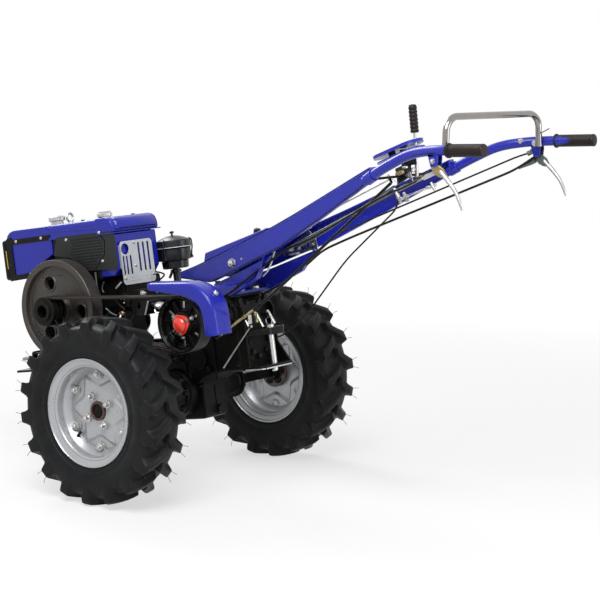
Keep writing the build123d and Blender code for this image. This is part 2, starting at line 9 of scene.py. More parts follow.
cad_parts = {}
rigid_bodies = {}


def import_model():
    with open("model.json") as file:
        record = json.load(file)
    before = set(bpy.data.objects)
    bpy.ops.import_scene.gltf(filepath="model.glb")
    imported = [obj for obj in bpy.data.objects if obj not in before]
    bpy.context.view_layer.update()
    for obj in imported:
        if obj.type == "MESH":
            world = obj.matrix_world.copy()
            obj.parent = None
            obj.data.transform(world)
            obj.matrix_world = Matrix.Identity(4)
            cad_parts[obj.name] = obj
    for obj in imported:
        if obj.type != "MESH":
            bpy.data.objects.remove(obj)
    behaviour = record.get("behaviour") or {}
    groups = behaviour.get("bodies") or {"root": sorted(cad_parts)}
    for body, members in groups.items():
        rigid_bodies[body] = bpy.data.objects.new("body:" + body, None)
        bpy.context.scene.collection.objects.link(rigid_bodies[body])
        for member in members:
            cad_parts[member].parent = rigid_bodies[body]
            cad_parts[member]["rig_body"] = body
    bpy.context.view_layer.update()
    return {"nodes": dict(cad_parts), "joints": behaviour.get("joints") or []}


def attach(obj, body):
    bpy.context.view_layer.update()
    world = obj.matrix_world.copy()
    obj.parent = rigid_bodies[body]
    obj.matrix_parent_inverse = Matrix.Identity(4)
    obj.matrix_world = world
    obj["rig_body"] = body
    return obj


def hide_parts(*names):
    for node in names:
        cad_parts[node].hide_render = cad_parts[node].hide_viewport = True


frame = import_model()

# The machine is drawn level, in millimetres from the wheel axle: +x to the engine, +y left, +z up.
stance = {"lean": 9.0, "axle": frame["joints"][0]["pos_m"]}
leanTurn = np.array(Matrix.Rotation(radians(stance["lean"]), 3, "Y"))


def place(points):
    # Level millimetres to row metres: turned nose down about the axle, then moved to it.
    axleX, _, axleZ = stance["axle"]
    return np.asarray(points, float).reshape(-1, 3) @ leanTurn.T / 1000 + (axleX, 0, axleZ)


# A shape is a pair (points, faces), made as whole arrays.

def gridShape(points, wrapU=False, wrapV=False):
    # Quads between neighbours of a (u, v) grid of points; a wrapped way joins its last row to its first.
    countU, countV = points.shape[:2]
    u = np.arange(countU if wrapU else countU - 1)[:, None]
    v = np.arange(countV if wrapV else countV - 1)[None, :]
    nextU, nextV = (u + 1) % countU, (v + 1) % countV
    quads = np.stack([u * countV + v, nextU * countV + v, nextU * countV + nextV, u * countV + nextV], -1)
    return points.reshape(-1, 3), quads.reshape(-1, 4).tolist()


def join(*shapes):
    # Many shapes as one; each one's faces count on from the points before them.
    starts = np.cumsum([0] + [len(points) for points, _ in shapes])
    faces = [[v + int(start) for v in face] for (_, fs), start in zip(shapes, starts) for face in fs]
    return np.vstack([points for points, _ in shapes]), faces


def otherHand(shape):
    # The shape with y the other way round.
    return shape[0] * (1, -1, 1), shape[1]


def bothSides(shape):
    # The shape and its twin of the other hand.
    return join(shape, otherHand(shape))


def basis(way):
    # Two unit directions square to `way`, and `way` itself, as the rows of a turn.
    w = np.asarray(way, float) / np.linalg.norm(way)
    side = np.cross(w, (0, 0, 1) if abs(w[2]) < 0.9 else (1, 0, 0))
    side /= np.linalg.norm(side)
    return np.array([side, np.cross(w, side), w])


def lathe(profile, centre=(0, 0, 0), way=(0, 1, 0), steps=64, closed=False, lobes=0, swell=0.0):
    # Each (along, radius) pair goes round the axis: centre + along w + radius (u cos t + v sin t);
    # with lobes the radius is times 1 + swell cos(lobes t).
    along, radius = np.array(profile, float).T
    u, v, w = basis(way)
    t = np.linspace(0, 2 * pi, steps, endpoint=False)
    ring = (np.cos(t)[:, None] * u + np.sin(t)[:, None] * v) * (1 + swell * np.cos(lobes * t))[:, None]
    points = centre + along[None, :, None] * w + radius[None, :, None] * ring[:, None, :]
    return gridShape(points, wrapU=True, wrapV=closed)


flatOrder = {"y": [0, 2, 1], "z": [0, 1, 2], "x": [2, 0, 1]}


def slab(outline, low, high, across="y"):
    # A flat outline made thick. Its pairs are (x, z) for "y", (x, y) for "z" and (y, z) for "x".
    flat = np.array(outline, float)
    order = flatOrder[across]
    layers = [np.column_stack([flat, np.full(len(flat), depth)])[:, order] for depth in (low, high)]
    count = len(flat)
    sides = [[i, (i + 1) % count, (i + 1) % count + count, i + count] for i in range(count)]
    return np.vstack(layers), sides + [list(range(count))[::-1], list(range(count, 2 * count))]


def block(x, y, z):
    # Box between the pairs of limits x, y and z.
    return slab([(x[0], z[0]), (x[1], z[0]), (x[1], z[1]), (x[0], z[1])], *y)


def turned(shape, at, way=None, spin=0.0):
    # A shape drawn along +z about the origin, spun about z, z turned to `way`, then moved to `at`.
    points = shape[0] @ np.array(Matrix.Rotation(radians(spin), 3, "Z")).T
    return (points if way is None else points @ basis(way)) + at, shape[1]


def arc(centre, radius, first, last, steps=9):
    # Points of a flat arc between two angles in degrees.
    t = np.radians(np.linspace(first, last, steps))
    return [(centre[0] + radius * cos(a), centre[1] + radius * sin(a)) for a in t]


def rounded(low, high, corner, steps=5):
    # Rectangle between two opposite corners, its corners quarter arcs.
    (x0, y0), (x1, y1) = low, high
    centres = [(x1 - corner, y1 - corner), (x0 + corner, y1 - corner), (x0 + corner, y0 + corner),
               (x1 - corner, y0 + corner)]
    return [p for i, c in enumerate(centres) for p in arc(c, corner, 90 * i, 90 * i + 90, steps)]


def pierced(outline, holes, low, high, across="y"):
    # Plate with openings: a filled 2D curve of closed outlines, made thick from low to high.
    curve = bpy.data.curves.new("plate", "CURVE")
    curve.dimensions, curve.fill_mode, curve.extrude = "2D", "BOTH", (high - low) / 2
    for loop in [outline, *holes]:
        spline = curve.splines.new("POLY")
        spline.points.add(len(loop) - 1)
        flat = np.column_stack([np.array(loop, float), np.zeros(len(loop)), np.ones(len(loop))])
        spline.points.foreach_set("co", flat.ravel())
        spline.use_cyclic_u = True
    thing = bpy.data.objects.new("plate", curve)
    mesh = bpy.data.meshes.new_from_object(thing)
    flat = np.empty(len(mesh.vertices) * 3)
    mesh.vertices.foreach_get("co", flat)
    faces = [list(face.vertices) for face in mesh.polygons]
    bpy.data.objects.remove(thing)
    bpy.data.curves.remove(curve)
    bpy.data.meshes.remove(mesh)
    points = flat.reshape(-1, 3) + (0, 0, (low + high) / 2)
    return points[:, flatOrder[across]], faces


def bent(points, reach, steps=8):
    # Route with each corner C eased: (1-t)^2 A + 2t(1-t) C + t^2 B, with A and B up to `reach` away from C.
    p = np.array(points, float)
    runs = np.diff(p, axis=0)
    lengths = np.linalg.norm(runs, axis=1)
    ways = runs / lengths[:, None]
    room = np.minimum(reach, np.minimum(lengths[:-1], lengths[1:]) * 0.499)[:, None]
    a, b, c = p[1:-1] - ways[:-1] * room, p[1:-1] + ways[1:] * room, p[1:-1]
    t = np.linspace(0, 1, steps)[None, :, None]
    curve = (1 - t) ** 2 * a[:, None] + 2 * t * (1 - t) * c[:, None] + t ** 2 * b[:, None]
    return np.vstack([p[:1], curve.reshape(-1, p.shape[1]), p[-1:]])


def tube(path, radius, sides=14, up=(0.02, 1, 0.03)):
    # A circle carried square to the path: p + r (u cos t + v sin t), with u square to the path and to `up`.
    p = np.asarray(path, float)
    ways = np.gradient(p, axis=0)
    ways /= np.linalg.norm(ways, axis=1)[:, None]
    u = np.cross(ways, up)
    u /= np.linalg.norm(u, axis=1)[:, None]
    v = np.cross(ways, u)
    t = np.linspace(0, 2 * pi, sides, endpoint=False)
    size = np.broadcast_to(np.asarray(radius, float), (len(p),))[:, None, None]
    ring = np.cos(t)[None, :, None] * u[:, None] + np.sin(t)[None, :, None] * v[:, None]
    shape = gridShape(p[:, None] + size * ring, wrapV=True)
    last = (len(p) - 1) * sides
    return shape[0], shape[1] + [list(range(sides)), list(range(last, last + sides))]


def wire(points, radius, reach=12.0, sides=8, up=(0.02, 1, 0.03)):
    # Thin rod or hose along a route with eased corners.
    return tube(bent(points, reach, 6) if len(points) > 2 else points, radius, sides, up)


def disc(low, high, radius, centre, way=(0, 1, 0), steps=16):
    # Round plate or pin: a circle carried from low to high along `way`.
    return lathe([(low, 0), (low, radius), (high, radius), (high, 0)], centre, way, steps)


def circleRoute(centre, u, v, radius, steps=48):
    # Closed route c + r (u cos t + v sin t).
    t = np.linspace(0, 2 * pi, steps + 1)[:, None]
    return np.array(centre) + radius * (np.cos(t) * u + np.sin(t) * v)


def ribbed(points, radius, rib, pitch, sides=14):
    # Straight run with rings: radius + rib |sin(pi s / pitch)| along its length s.
    start, end = np.array(points[0], float), np.array(points[-1], float)
    length = np.linalg.norm(end - start)
    s = np.linspace(0, length, max(12, int(length / pitch * 6)))
    return tube(start + s[:, None] / length * (end - start), radius + rib * np.abs(np.sin(pi * s / pitch)),
                sides)


def coil(points, radius, wireRadius, pitch, sides=6):
    # Spring: a helix about the run from the first point to the last.
    start, end = np.array(points[0], float), np.array(points[-1], float)
    length = np.linalg.norm(end - start)
    u, v, w = basis(end - start)
    s = np.linspace(0, length, int(length / pitch * 14))[:, None]
    t = 2 * pi * s / pitch
    return tube(start + s * w + radius * (np.cos(t) * u + np.sin(t) * v), wireRadius, sides, tuple(w))


def strip(path, wide, thick, up=(0, 1, 0)):
    # A flat bar carried along a path: `wide` along up, `thick` square to it.
    p = np.asarray(path, float)
    ways = np.gradient(p, axis=0)
    across = np.cross(ways, up)
    across /= np.linalg.norm(across, axis=1)[:, None]
    widths = np.broadcast_to(np.asarray(wide, float), (len(p),))[:, None]
    corners = ((-1, -1), (1, -1), (1, 1), (-1, 1))
    ring = [p + a * across * thick / 2 + b * np.array(up) * widths / 2 for a, b in corners]
    shape = gridShape(np.stack(ring, 1), wrapV=True)
    last = (len(p) - 1) * 4
    return shape[0], shape[1] + [[0, 1, 2, 3], [last, last + 1, last + 2, last + 3]]


def bolt(size, washer=True, stud=0.0):
    # Hexagon head on a washer, along +z; size is the thread's diameter.
    head = lathe([(0, 0), (0, size * 0.9), (size * 0.55, size * 0.9), (size * 0.65, size * 0.8),
                  (size * 0.65, 0)], way=(0, 0, 1), steps=6)
    parts = [(head[0] + (0, 0, size * 0.16), head[1])]
    if washer:
        parts.append(lathe([(0, 0), (0, size * 1.1), (size * 0.16, size * 1.05), (size * 0.16, 0)],
                           way=(0, 0, 1), steps=20))
    if stud:
        parts.append(lathe([(size * 0.7, size * 0.48), (size * 0.7 + stud, size * 0.48),
                            (size * 0.8 + stud, size * 0.36), (size * 0.8 + stud, 0)], way=(0, 0, 1),
                           steps=12))
    return join(*parts)


def bolts(places, way, size, **kinds):
    # The same bolt at each place, its head towards `way`.
    one = bolt(size, **kinds)
    return join(*[turned(one, at, way) for at in places])


def screws(places, way, radius):
    # Round-headed screws with a slot, heads towards `way`.
    head = join(lathe([(0, 0), (0, radius), (radius * 0.35, radius * 0.92), (radius * 0.62, radius * 0.6),
                       (radius * 0.7, radius * 0.25), (radius * 0.7, 0)], way=(0, 0, 1), steps=20),
                block((-radius * 0.7, radius * 0.7), (-radius * 0.12, radius * 0.12), (0, radius * 0.74)))
    return join(*[turned(head, at, way) for at in places])


# Each finish is a material and the slot of the part's table that it fills.
finishes = {}
# rimRadius, rimSpan and the highlight noise entries shape the painted highlight along edges.
surface = {"noiseSpan": (0.3, 0.7), "rimRadius": 0.0016, "rimSpan": (0.99, 0.80), "highlightNoiseScale": 55,
           "highlightNoiseSpan": (0.1, 1.2), "grainDepth": 0.0006, "coatRough": 0.07}


def finish(name, slot, colour, rough, metal=0.0, coat=0.0, shine=0.5, mottle=0.06, spots=9.0, grain=0.0,
           grainSize=400.0, dust=0.0, dustColour=(0.20, 0.18, 0.15), edge=0.0, edgeColour=(0.5, 0.5, 0.5)):
    # Colour times soft noise, dust by slow noise, roughness by middle noise, bump by fine noise and,
    # where edge is set, a painted highlight: a lighter rim where the bevelled normal leaves the true one,
    # broken up by noise.
    material = bpy.data.materials.new(name)
    material.use_nodes = True
    nodes, links = material.node_tree.nodes, material.node_tree.links
    shader = nodes["Principled BSDF"]
    where = nodes.new("ShaderNodeTexCoord").outputs["Object"]

    def noise(scale, detail, low, high):
        cloud = nodes.new("ShaderNodeTexNoise")
        cloud.inputs["Scale"].default_value = scale
        cloud.inputs["Detail"].default_value = detail
        links.new(where, cloud.inputs["Vector"])
        return spread(cloud.outputs["Fac"], surface["noiseSpan"], (low, high))

    def spread(value, source, target):
        span = nodes.new("ShaderNodeMapRange")
        span.inputs["From Min"].default_value, span.inputs["From Max"].default_value = source
        span.inputs["To Min"].default_value, span.inputs["To Max"].default_value = target
        links.new(value, span.inputs["Value"])
        return span.outputs["Result"]

    def blend(factor, first, second):
        mix = nodes.new("ShaderNodeMix")
        mix.data_type = "RGBA"
        links.new(factor, mix.inputs["Factor"])
        for socket, colours in (("A", first), ("B", second)):
            if isinstance(colours, tuple):
                mix.inputs[socket].default_value = (*colours, 1)
            else:
                links.new(colours, mix.inputs[socket])
        return mix.outputs["Result"]

    shade = blend(noise(spots, 5, 0, 1), tuple(c * (1 - mottle) for c in colour),
                  tuple(min(1, c * (1 + mottle)) for c in colour))
    if dust:
        shade = blend(noise(spots * 0.6, 9, -0.35 + dust, dust), shade, dustColour)
    # Painted highlight: edges take edgeColour where the bevelled normal leaves the true one, broken up by
    # noise.
    if edge:
        soft = nodes.new("ShaderNodeBevel")
        soft.samples = 4
        soft.inputs["Radius"].default_value = surface["rimRadius"]
        true = nodes.new("ShaderNodeNewGeometry")
        dot = nodes.new("ShaderNodeVectorMath")
        dot.operation = "DOT_PRODUCT"
        links.new(soft.outputs["Normal"], dot.inputs[0])
        links.new(true.outputs["Normal"], dot.inputs[1])
        rim = spread(dot.outputs["Value"], surface["rimSpan"], (0, edge))
        paintedRimHighlight = nodes.new("ShaderNodeMath")
        paintedRimHighlight.operation = "MULTIPLY"
        links.new(rim, paintedRimHighlight.inputs[0])
        links.new(noise(surface["highlightNoiseScale"], 6, *surface["highlightNoiseSpan"]), paintedRimHighlight.inputs[1])
        shade = blend(paintedRimHighlight.outputs["Value"], shade, edgeColour)
    links.new(shade, shader.inputs["Base Color"])
    links.new(noise(spots * 2.3, 6, rough * 0.82, min(1, rough * 1.25)), shader.inputs["Roughness"])
    shader.inputs["Metallic"].default_value = metal
    shader.inputs["Specular IOR Level"].default_value = shine
    shader.inputs["Coat Weight"].default_value = coat
    shader.inputs["Coat Roughness"].default_value = surface["coatRough"]
    if grain:
        bump = nodes.new("ShaderNodeBump")
        bump.inputs["Strength"].default_value = grain
        bump.inputs["Distance"].default_value = surface["grainDepth"]
        links.new(noise(grainSize, 4, 0, 1), bump.inputs["Height"])
        links.new(bump.outputs["Normal"], shader.inputs["Normal"])
    finishes[name] = (material, slot)


# Each edgeColour below is a painted highlight along that finish's edges.
finish("bluePaint", "blue_paint", (0.010, 0.016, 0.31), 0.25, coat=0.20, shine=0.28, mottle=0.04, grain=0.10,
       grainSize=120, edge=0.7, edgeColour=(0.22, 0.27, 0.80))
finish("blackPaint", "black_paint", (0.004, 0.004, 0.0045), 0.22, shine=0.14, mottle=0.25, grain=0.12,
       grainSize=220, dust=0.04, dustColour=(0.10, 0.10, 0.10), edge=0.45, edgeColour=(0.16, 0.16, 0.16))
finish("grillePaint", "black_paint", (0.026, 0.029, 0.027), 0.45, shine=0.15, mottle=0.12, grain=0.12,
       grainSize=220, edge=0.4, edgeColour=(0.16, 0.16, 0.16))
finish("castBlack", "cast_black", (0.006, 0.0055, 0.005), 0.34, shine=0.09, mottle=0.3, grain=0.65,
       grainSize=330, dust=0.04, dustColour=(0.09, 0.08, 0.07), edge=0.6, edgeColour=(0.15, 0.14, 0.13))
finish("flywheelIron", "cast_black", (0.050, 0.044, 0.038), 0.32, metal=0.25, shine=0.4, mottle=0.16,
       grain=0.3, grainSize=300, edge=0.6, edgeColour=(0.45, 0.43, 0.41))
finish("silverPaint", "rim_silver", (0.40, 0.41, 0.425), 0.30, metal=0.5, mottle=0.04, grain=0.05,
       grainSize=500, edge=0.25, edgeColour=(0.75, 0.75, 0.75))
finish("hubBrown", "hub_brown", (0.035, 0.008, 0.005), 0.28, coat=0.3, mottle=0.4, grain=0.4, grainSize=200,
       dust=0.08, dustColour=(0.12, 0.08, 0.05))
finish("tyreRubber", "tyre_rubber", (0.0108, 0.0112, 0.0120), 0.42, shine=0.10, mottle=0.25, spots=14,
       grain=0.35, grainSize=260, dust=0.08, dustColour=(0.04, 0.04, 0.042), edge=0.8,
       edgeColour=(0.09, 0.09, 0.09))
finish("redPaint", "red_paint", (0.75, 0.035, 0.015), 0.22, coat=0.6, mottle=0.06, grain=0.1, grainSize=150)
finish("zinc", "bright_steel", (0.50, 0.50, 0.49), 0.30, metal=1.0, mottle=0.15, spots=40, grain=0.15)
finish("greyZinc", "bright_steel", (0.10, 0.12, 0.115), 0.40, metal=0.6, mottle=0.2, spots=40, grain=0.15)
finish("yellowZinc", "bright_steel", (0.34, 0.27, 0.14), 0.34, metal=1.0, mottle=0.25, spots=40)
finish("brass", "bright_steel", (0.62, 0.50, 0.36), 0.34, metal=1.0, mottle=0.1, spots=40)
finish("chrome", "chrome_tube", (0.30, 0.28, 0.26), 0.12, metal=1.0, mottle=0.05, spots=30)
finish("plateSteel", "bright_steel", (0.54, 0.56, 0.58), 0.38, metal=0.45, mottle=0.06, spots=20, grain=0.2)
finish("gripPlastic", "black_plastic", (0.012, 0.008, 0.007), 0.42, shine=0.2, mottle=0.2, grain=0.3,
       grainSize=500)
finish("darkPlastic", "black_plastic", (0.008, 0.009, 0.010), 0.22, shine=0.35, mottle=0.2, grain=0.2,
       grainSize=400)
finish("cableBlack", "cable_black", (0.004, 0.004, 0.004), 0.36, shine=0.18, mottle=0.2)
finish("beltRubber", "belt_rubber", (0.018, 0.017, 0.016), 0.45, shine=0.2, mottle=0.25, grain=0.3,
       grainSize=300)
finish("beltCord", "belt_rubber", (0.10, 0.045, 0.018), 0.5, mottle=0.3, grain=0.3, grainSize=300)
finish("rustyIron", "cast_black", (0.085, 0.035, 0.016), 0.6, mottle=0.5, spots=30, grain=0.6, grainSize=200)
finish("yellowPaint", "blue_paint", (0.60, 0.48, 0.05), 0.35, coat=0.3, mottle=0.06)
# Near-black painted shade: stands for the dark inside seen through the grille and the front slats, and in the
# grille's creases.
finish("paintedShadeBlack", "cast_black", (0.002, 0.002, 0.002), 0.8, shine=0.1, mottle=0.3)
print("finishes:", len(finishes))


def piece(name, shape, look, body="frame", bevel=0.0, smooth=35.0, replaces=(), segments=2, thick=0.0):
    # Mesh at its place in the row frame, normals outwards, edges eased by `bevel` millimetres.
    mesh = bpy.data.meshes.new(name)
    mesh.from_pydata(place(shape[0]).tolist(), [], shape[1])
    work = bmesh.new()
    work.from_mesh(mesh)
    bmesh.ops.remove_doubles(work, verts=work.verts, dist=2e-6)
    bmesh.ops.recalc_face_normals(work, faces=work.faces)
    work.to_mesh(mesh)
    work.free()
    thing = bpy.data.objects.new(name, mesh)
    if thick:
        wall = thing.modifiers.new("wall", "SOLIDIFY")
        wall.thickness, wall.offset = thick / 1000, 0
    return dress(thing, look, body, bevel, smooth, replaces, segments)


def dress(thing, look, body, bevel=0.0, smooth=35.0, replaces=(), segments=2):
    # Finish, smooth shading up to an angle, bevel, body and material slot of a new object.
    material, slot = finishes[look]
    bpy.context.scene.collection.objects.link(thing)
    thing.data.materials.clear()
    thing.data.materials.append(material)
    thing.data.shade_smooth()
    thing.data.set_sharp_from_angle(angle=radians(smooth))
    if bevel:
        ease = thing.modifiers.new("ease", "BEVEL")
        ease.width, ease.segments = bevel / 1000, segments
        ease.limit_method, ease.angle_limit = "ANGLE", radians(smooth)
        ease.harden_normals = True
    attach(thing, body)
    if replaces:
        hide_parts(*replaces)
    return thing


def softened(node, look, bevel=1.2, smooth=32.0):
    # A copy of a CAD node with its loose triangles merged, flat faces joined and edges eased.
    source = frame["nodes"][node]
    mesh = source.data.copy()
    work = bmesh.new()
    work.from_mesh(mesh)
    bmesh.ops.remove_doubles(work, verts=work.verts, dist=2e-6)
    bmesh.ops.dissolve_limit(work, angle_limit=radians(1.0), verts=work.verts, edges=work.edges)
    work.to_mesh(mesh)
    work.free()
    thing = bpy.data.objects.new(node + "_shell", mesh)
    return dress(thing, look, source["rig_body"], bevel, smooth, [node])


wheel = {"track": 475.0, "lugs": 18, "sweep": 0.85, "curl": 0.0028, "rimBoltAt": 126.0, "rimBoltTurn": -7.5,
         "hubBoltAt": 55.0, "hubBoltTurn": 22.0, "starIn": 86.0, "starRise": 42.0, "starHigh": 7.5,
         "hair": 0.8, "hairRoot": (78.0, 309.0), "hairTip": (82.0, 334.0), "hairFree": 0.62, "treadAt": 300.0,
         "stemAt": 150.0, "stemTurn": 126.0, "sleeveHalf": 17.0}
lugPitch = 2 * pi / wheel["lugs"]


def wheelPoints(a, r, phi, side):
    # a outwards from the wheel's middle plane, r from the axle, phi from the top forwards.
    return np.stack([r * np.sin(phi), side * (wheel["track"] + a) + 0 * r, r * np.cos(phi)], -1)


def wheelRing(section, side, steps=144):
    # A closed section of (a, r) pairs carried round the axle.
    section = np.array(section, float)
    phi = np.linspace(0, 2 * pi, steps, endpoint=False)[:, None]
    return gridShape(wheelPoints(section[None, :, 0] + 0 * phi, section[None, :, 1] + 0 * phi, phi, side),
                     wrapU=True, wrapV=True)


def tyreCarcass(side):
    # Half of the section is given and mirrored; the sidewall has a bead rib and two moulded ribs.
    half = [(48, 159), (56, 159.5), (60.2, 163), (61.5, 178), (63.5, 187.5), (68, 190), (70.4, 194),
            (71.0, 199), (71.0, 202.5), (73.4, 204), (73.6, 207), (72.6, 209), (74.6, 215), (76.6, 221),
            (77.0, 222.5), (79, 230),
            (80.4, 243), (79.8, 256), (78.0, 264), (79.2, 265.5), (78.8, 268), (76.8, 270.5), (74, 281),
            (67, 289), (54, 294), (36, 296.5), (18, 297)]
    inner = [(48, 190), (62, 205), (66, 235), (60, 266), (40, 276)]
    outside = half + [(0, 297)] + [(-a, r) for a, r in half[::-1]]
    return wheelRing(outside + [(-a, r) for a, r in inner] + inner[::-1], side)


def tyreLugs(side):
    # Stations from the middle over the shoulder and down the sidewall: (a, base r, tip a, tip r, half width),
    # swept back behind the middle by sweep a - curl a^2 millimetres.
    stations = np.array([(-9, 294, -5, 296, 14), (-6, 294, -4, 309, 13.5), (-2, 294, -1, 317.6, 13),
                         (14, 294, 14, 319.0, 12.5), (30, 293, 30, 319.2, 12.5), (46, 292, 46, 318.6, 13),
                         (60, 288, 61, 317.2, 14), (70, 282, 73.5, 315.2, 15.5), (76, 275, 80.4, 311.0, 16.5),
                         (76.5, 268, 82.0, 303.0, 17), (77, 261, 81.9, 288.0, 16), (76, 252, 81.0, 268.0, 14),
                         (75, 243, 79.6, 252.0, 11.5), (75, 236, 77.6, 239.0, 9)])
    baseA, baseR, tipA, tipR, half = stations.T
    # Across the bar: (offset as a share of the half width, share of the height).
    flank = [(-2.4, 0), (-1.85, 0.10), (-1.42, 0.38), (-1.16, 0.78), (-1.02, 0.96), (-0.8, 1)]
    across = np.array(flank + [(-offset, share) for offset, share in flank[::-1]])
    share = across[None, :, 1]
    a = baseA[:, None] * (1 - share) + tipA[:, None] * share
    r = baseR[:, None] * (1 - share) + tipR[:, None] * share
    swept = np.clip(a, 0, None)
    offset = across[None, :, 0] * half[:, None] - (wheel["sweep"] * swept - wheel["curl"] * swept ** 2)
    shapes = []
    for hand in (1, -1):
        for index in range(wheel["lugs"]):
            phi = lugPitch * (index + (0.5 if hand < 0 else 0)) + offset / wheel["treadAt"]
            shape = gridShape(wheelPoints(hand * a, r, phi, side))
            count = len(across)
            last = shape[0].shape[0] - count
            shapes.append((shape[0], shape[1] + [list(range(count)), list(range(last, last + count))]))
    return join(*shapes)


def tyreHairs(side):
    # Two thin moulding hairs at the tip of each lug, left off within hairFree radians of the ground.
    (rootA, rootR), (tipA, tipR) = wheel["hairRoot"], wheel["hairTip"]
    shapes = []
    for hand in (1, -1):
        for index in range(wheel["lugs"]):
            for along in (-11, 12):
                phi = lugPitch * (index + (0.5 if hand < 0 else 0)) + (along - 50) / wheel["treadAt"]
                if abs((phi % (2 * pi)) - pi) < wheel["hairFree"]:
                    continue
                root = wheelPoints(np.array(hand * rootA), np.array(rootR), np.array(phi), side)
                tip = wheelPoints(np.array(hand * tipA), np.array(tipR), np.array(phi + along * 0.002), side)
                middle = (root + tip) / 2 + (1.6, 0, 1.0)
                shapes.append(tube([root, middle, tip], wheel["hair"], 5, up=(0.3, 1, 0.2)))
    return join(*shapes)


def rimShell(side):
    # Rolled sheet of the rim: lip, flange, groove, bead seat and the step down to the disc.
    seen = [(3, 134), (7, 135.5), (26, 149), (29, 152.5), (33, 153.5), (44, 154), (55, 155), (58.5, 158),
            (60, 163), (62, 168), (64, 176), (65.6, 181), (68, 183.4), (70.4, 182.2)]
    hidden = [(72, 183.5), (70.8, 186.2), (67, 187.2), (63, 184.6), (61, 178), (59.4, 169), (57, 162.5),
              (54, 159), (31, 157.4), (26.5, 155), (6.5, 139.5), (3, 138.5)]
    section = seen + hidden
    return wheelRing(section + [(-a, r) for a, r in section[::-1]], side)


def rimDisc(side):
    # Pressed disc on a polar grid: raised star whose edge is at starIn + starRise (1 - |sin 3x|), and a
    # lip at the bore.
    r = np.concatenate([[34, 35.5, 38], np.linspace(41, 135, 60)])
    phi = np.linspace(0, 2 * pi, 216, endpoint=False)
    gridR, gridPhi = np.meshgrid(r, phi)
    lobe = gridPhi - radians(wheel["rimBoltTurn"] + 30)
    starEdge = wheel["starIn"] + wheel["starRise"] * (1 - np.abs(np.sin(3 * lobe)))
    step = np.clip((starEdge - gridR) / 18 + 0.5, 0, 1)
    pad = np.clip((18 - np.hypot(gridR - wheel["rimBoltAt"], gridR * np.abs(
        (gridPhi - radians(wheel["rimBoltTurn"]) + pi / 6) % (pi / 3) - pi / 6))) / 6, 0, 1)
    height = np.maximum(wheel["starHigh"] * step * step * (3 - 2 * step), 2.2 * pad)
    lip = np.clip((38 - gridR) / 4, 0, 1)
    rise = np.clip((gridR - 128) / 7, 0, 1)
    front = 3 + height + 2 * lip - 1.5 * rise
    faces = [wheelPoints(front, gridR, gridPhi, side), wheelPoints(front - 5.5, gridR, gridPhi, side)]
    skin = np.concatenate([faces[0], faces[1][:, ::-1]], axis=1)
    return gridShape(skin, wrapU=True, wrapV=True)


def boltRing(side, radius, count, turn, size, face, **kinds):
    # Bolts evenly round a circle, heads outwards.
    phi = radians(turn) + np.linspace(0, 2 * pi, count, endpoint=False)
    at = wheelPoints(np.full(count, face), np.full(count, radius), phi, side)
    return bolts(at, (0, side, 0), size, **kinds)


def valveStem(side):
    # Rubber stem rising from the rim well towards the hub, with a small cap.
    phi = np.array(radians(wheel["stemTurn"]))
    a = np.array([9.0, 11, 13, 15, 15.4, 17, 17.2])
    r = wheel["stemAt"] - np.array([0.0, 7, 14, 21, 22, 31, 31.4])
    return tube(wheelPoints(a, r, phi + 0 * a, side), [8.5, 8, 6, 4.4, 5.4, 5, 3], 14, up=(0, 1, 0))


for side, name in ((1, "left"), (-1, "right")):
    body = name + "_wheel"
    out = (0, side, 0)
    piece(name + "_tyre_carcass", tyreCarcass(side), "tyreRubber", body, smooth=50, replaces=[name + "_tyre"])
    piece(name + "_tyre_lugs", tyreLugs(side), "tyreRubber", body, smooth=34)
    piece(name + "_tyre_hairs", tyreHairs(side), "tyreRubber", body, smooth=60)
    piece(name + "_rim_shell", rimShell(side), "silverPaint", body, smooth=50, replaces=[name + "_rim"])
    piece(name + "_rim_disc", rimDisc(side), "silverPaint", body, smooth=50)
    rimBolts = boltRing(side, wheel["rimBoltAt"], 6, wheel["rimBoltTurn"], 17, 5, stud=9)
    rimBolts = join(rimBolts, boltRing(-side, 0, 1, 0, 1, -3))
    piece(name + "_rim_bolts", rimBolts, "zinc", body, smooth=30)
    hubNuts = boltRing(side, wheel["hubBoltAt"], 4, wheel["hubBoltTurn"], 17, 9, stud=14)
    piece(name + "_hub_nuts", hubNuts, "zinc", body, smooth=30)
    piece(name + "_valve_stem", valveStem(side), "cableBlack", body, smooth=50)
    half = wheel["sleeveHalf"]
    sleeve = join(block((-half, half), sorted((side * 233, side * 462)), (-half, half)),
                  disc(155, 236, 22, (0, 0, 0), out, 32),
                  lathe([(440, 0), (440, 30), (447, 34), (462, 34), (462, 0)], (0, 0, 0), out, 40))
    piece(name + "_axle_sleeve", sleeve, "blackPaint", body, bevel=1.5, smooth=32, replaces=[name + "_hub"])
    flange = lathe([(461, 0), (461, 58), (463, 60), (471, 60), (472, 58), (472, 33.6), (495, 33.6),
                    (496, 32), (496, 25), (494, 24), (478, 23), (478, 0)], (0, 0, 0), out, 64)
    piece(name + "_hub_flange", flange, "hubBrown", body, bevel=0.8, smooth=32)
    hubFace = side * (wheel["track"] + 20)
    capNut = lathe([(-6, 0), (-6, 22), (2, 22), (3, 20), (3, 11), (6, 10), (6, 0)],
                   (0, hubFace - side * 6, 0), out, 32)
    capPin = lathe([(0, 0), (0, 4), (7, 3), (8, 0)], (0, hubFace - side * 2, 0), out, 12)
    piece(name + "_hub_cap", join(capNut, capPin), "castBlack", body, smooth=35)
    innerBolts = [(40 * cos(t), side * 458, 40 * sin(t)) for t in np.radians(range(0, 360, 60))]
    piece(name + "_hub_bolts", bolts(innerBolts, (0, -side, 0), 11), "castBlack", body, smooth=30)
print("wheels")


def resampled(points, count):
    # `count` points at equal distances along a route.
    p = np.asarray(points, float)
    gone = np.concatenate([[0], np.cumsum(np.linalg.norm(np.diff(p, axis=0), axis=1))])
    at = np.linspace(0, gone[-1], count)
    return np.stack([np.interp(at, gone, column) for column in p.T], -1)


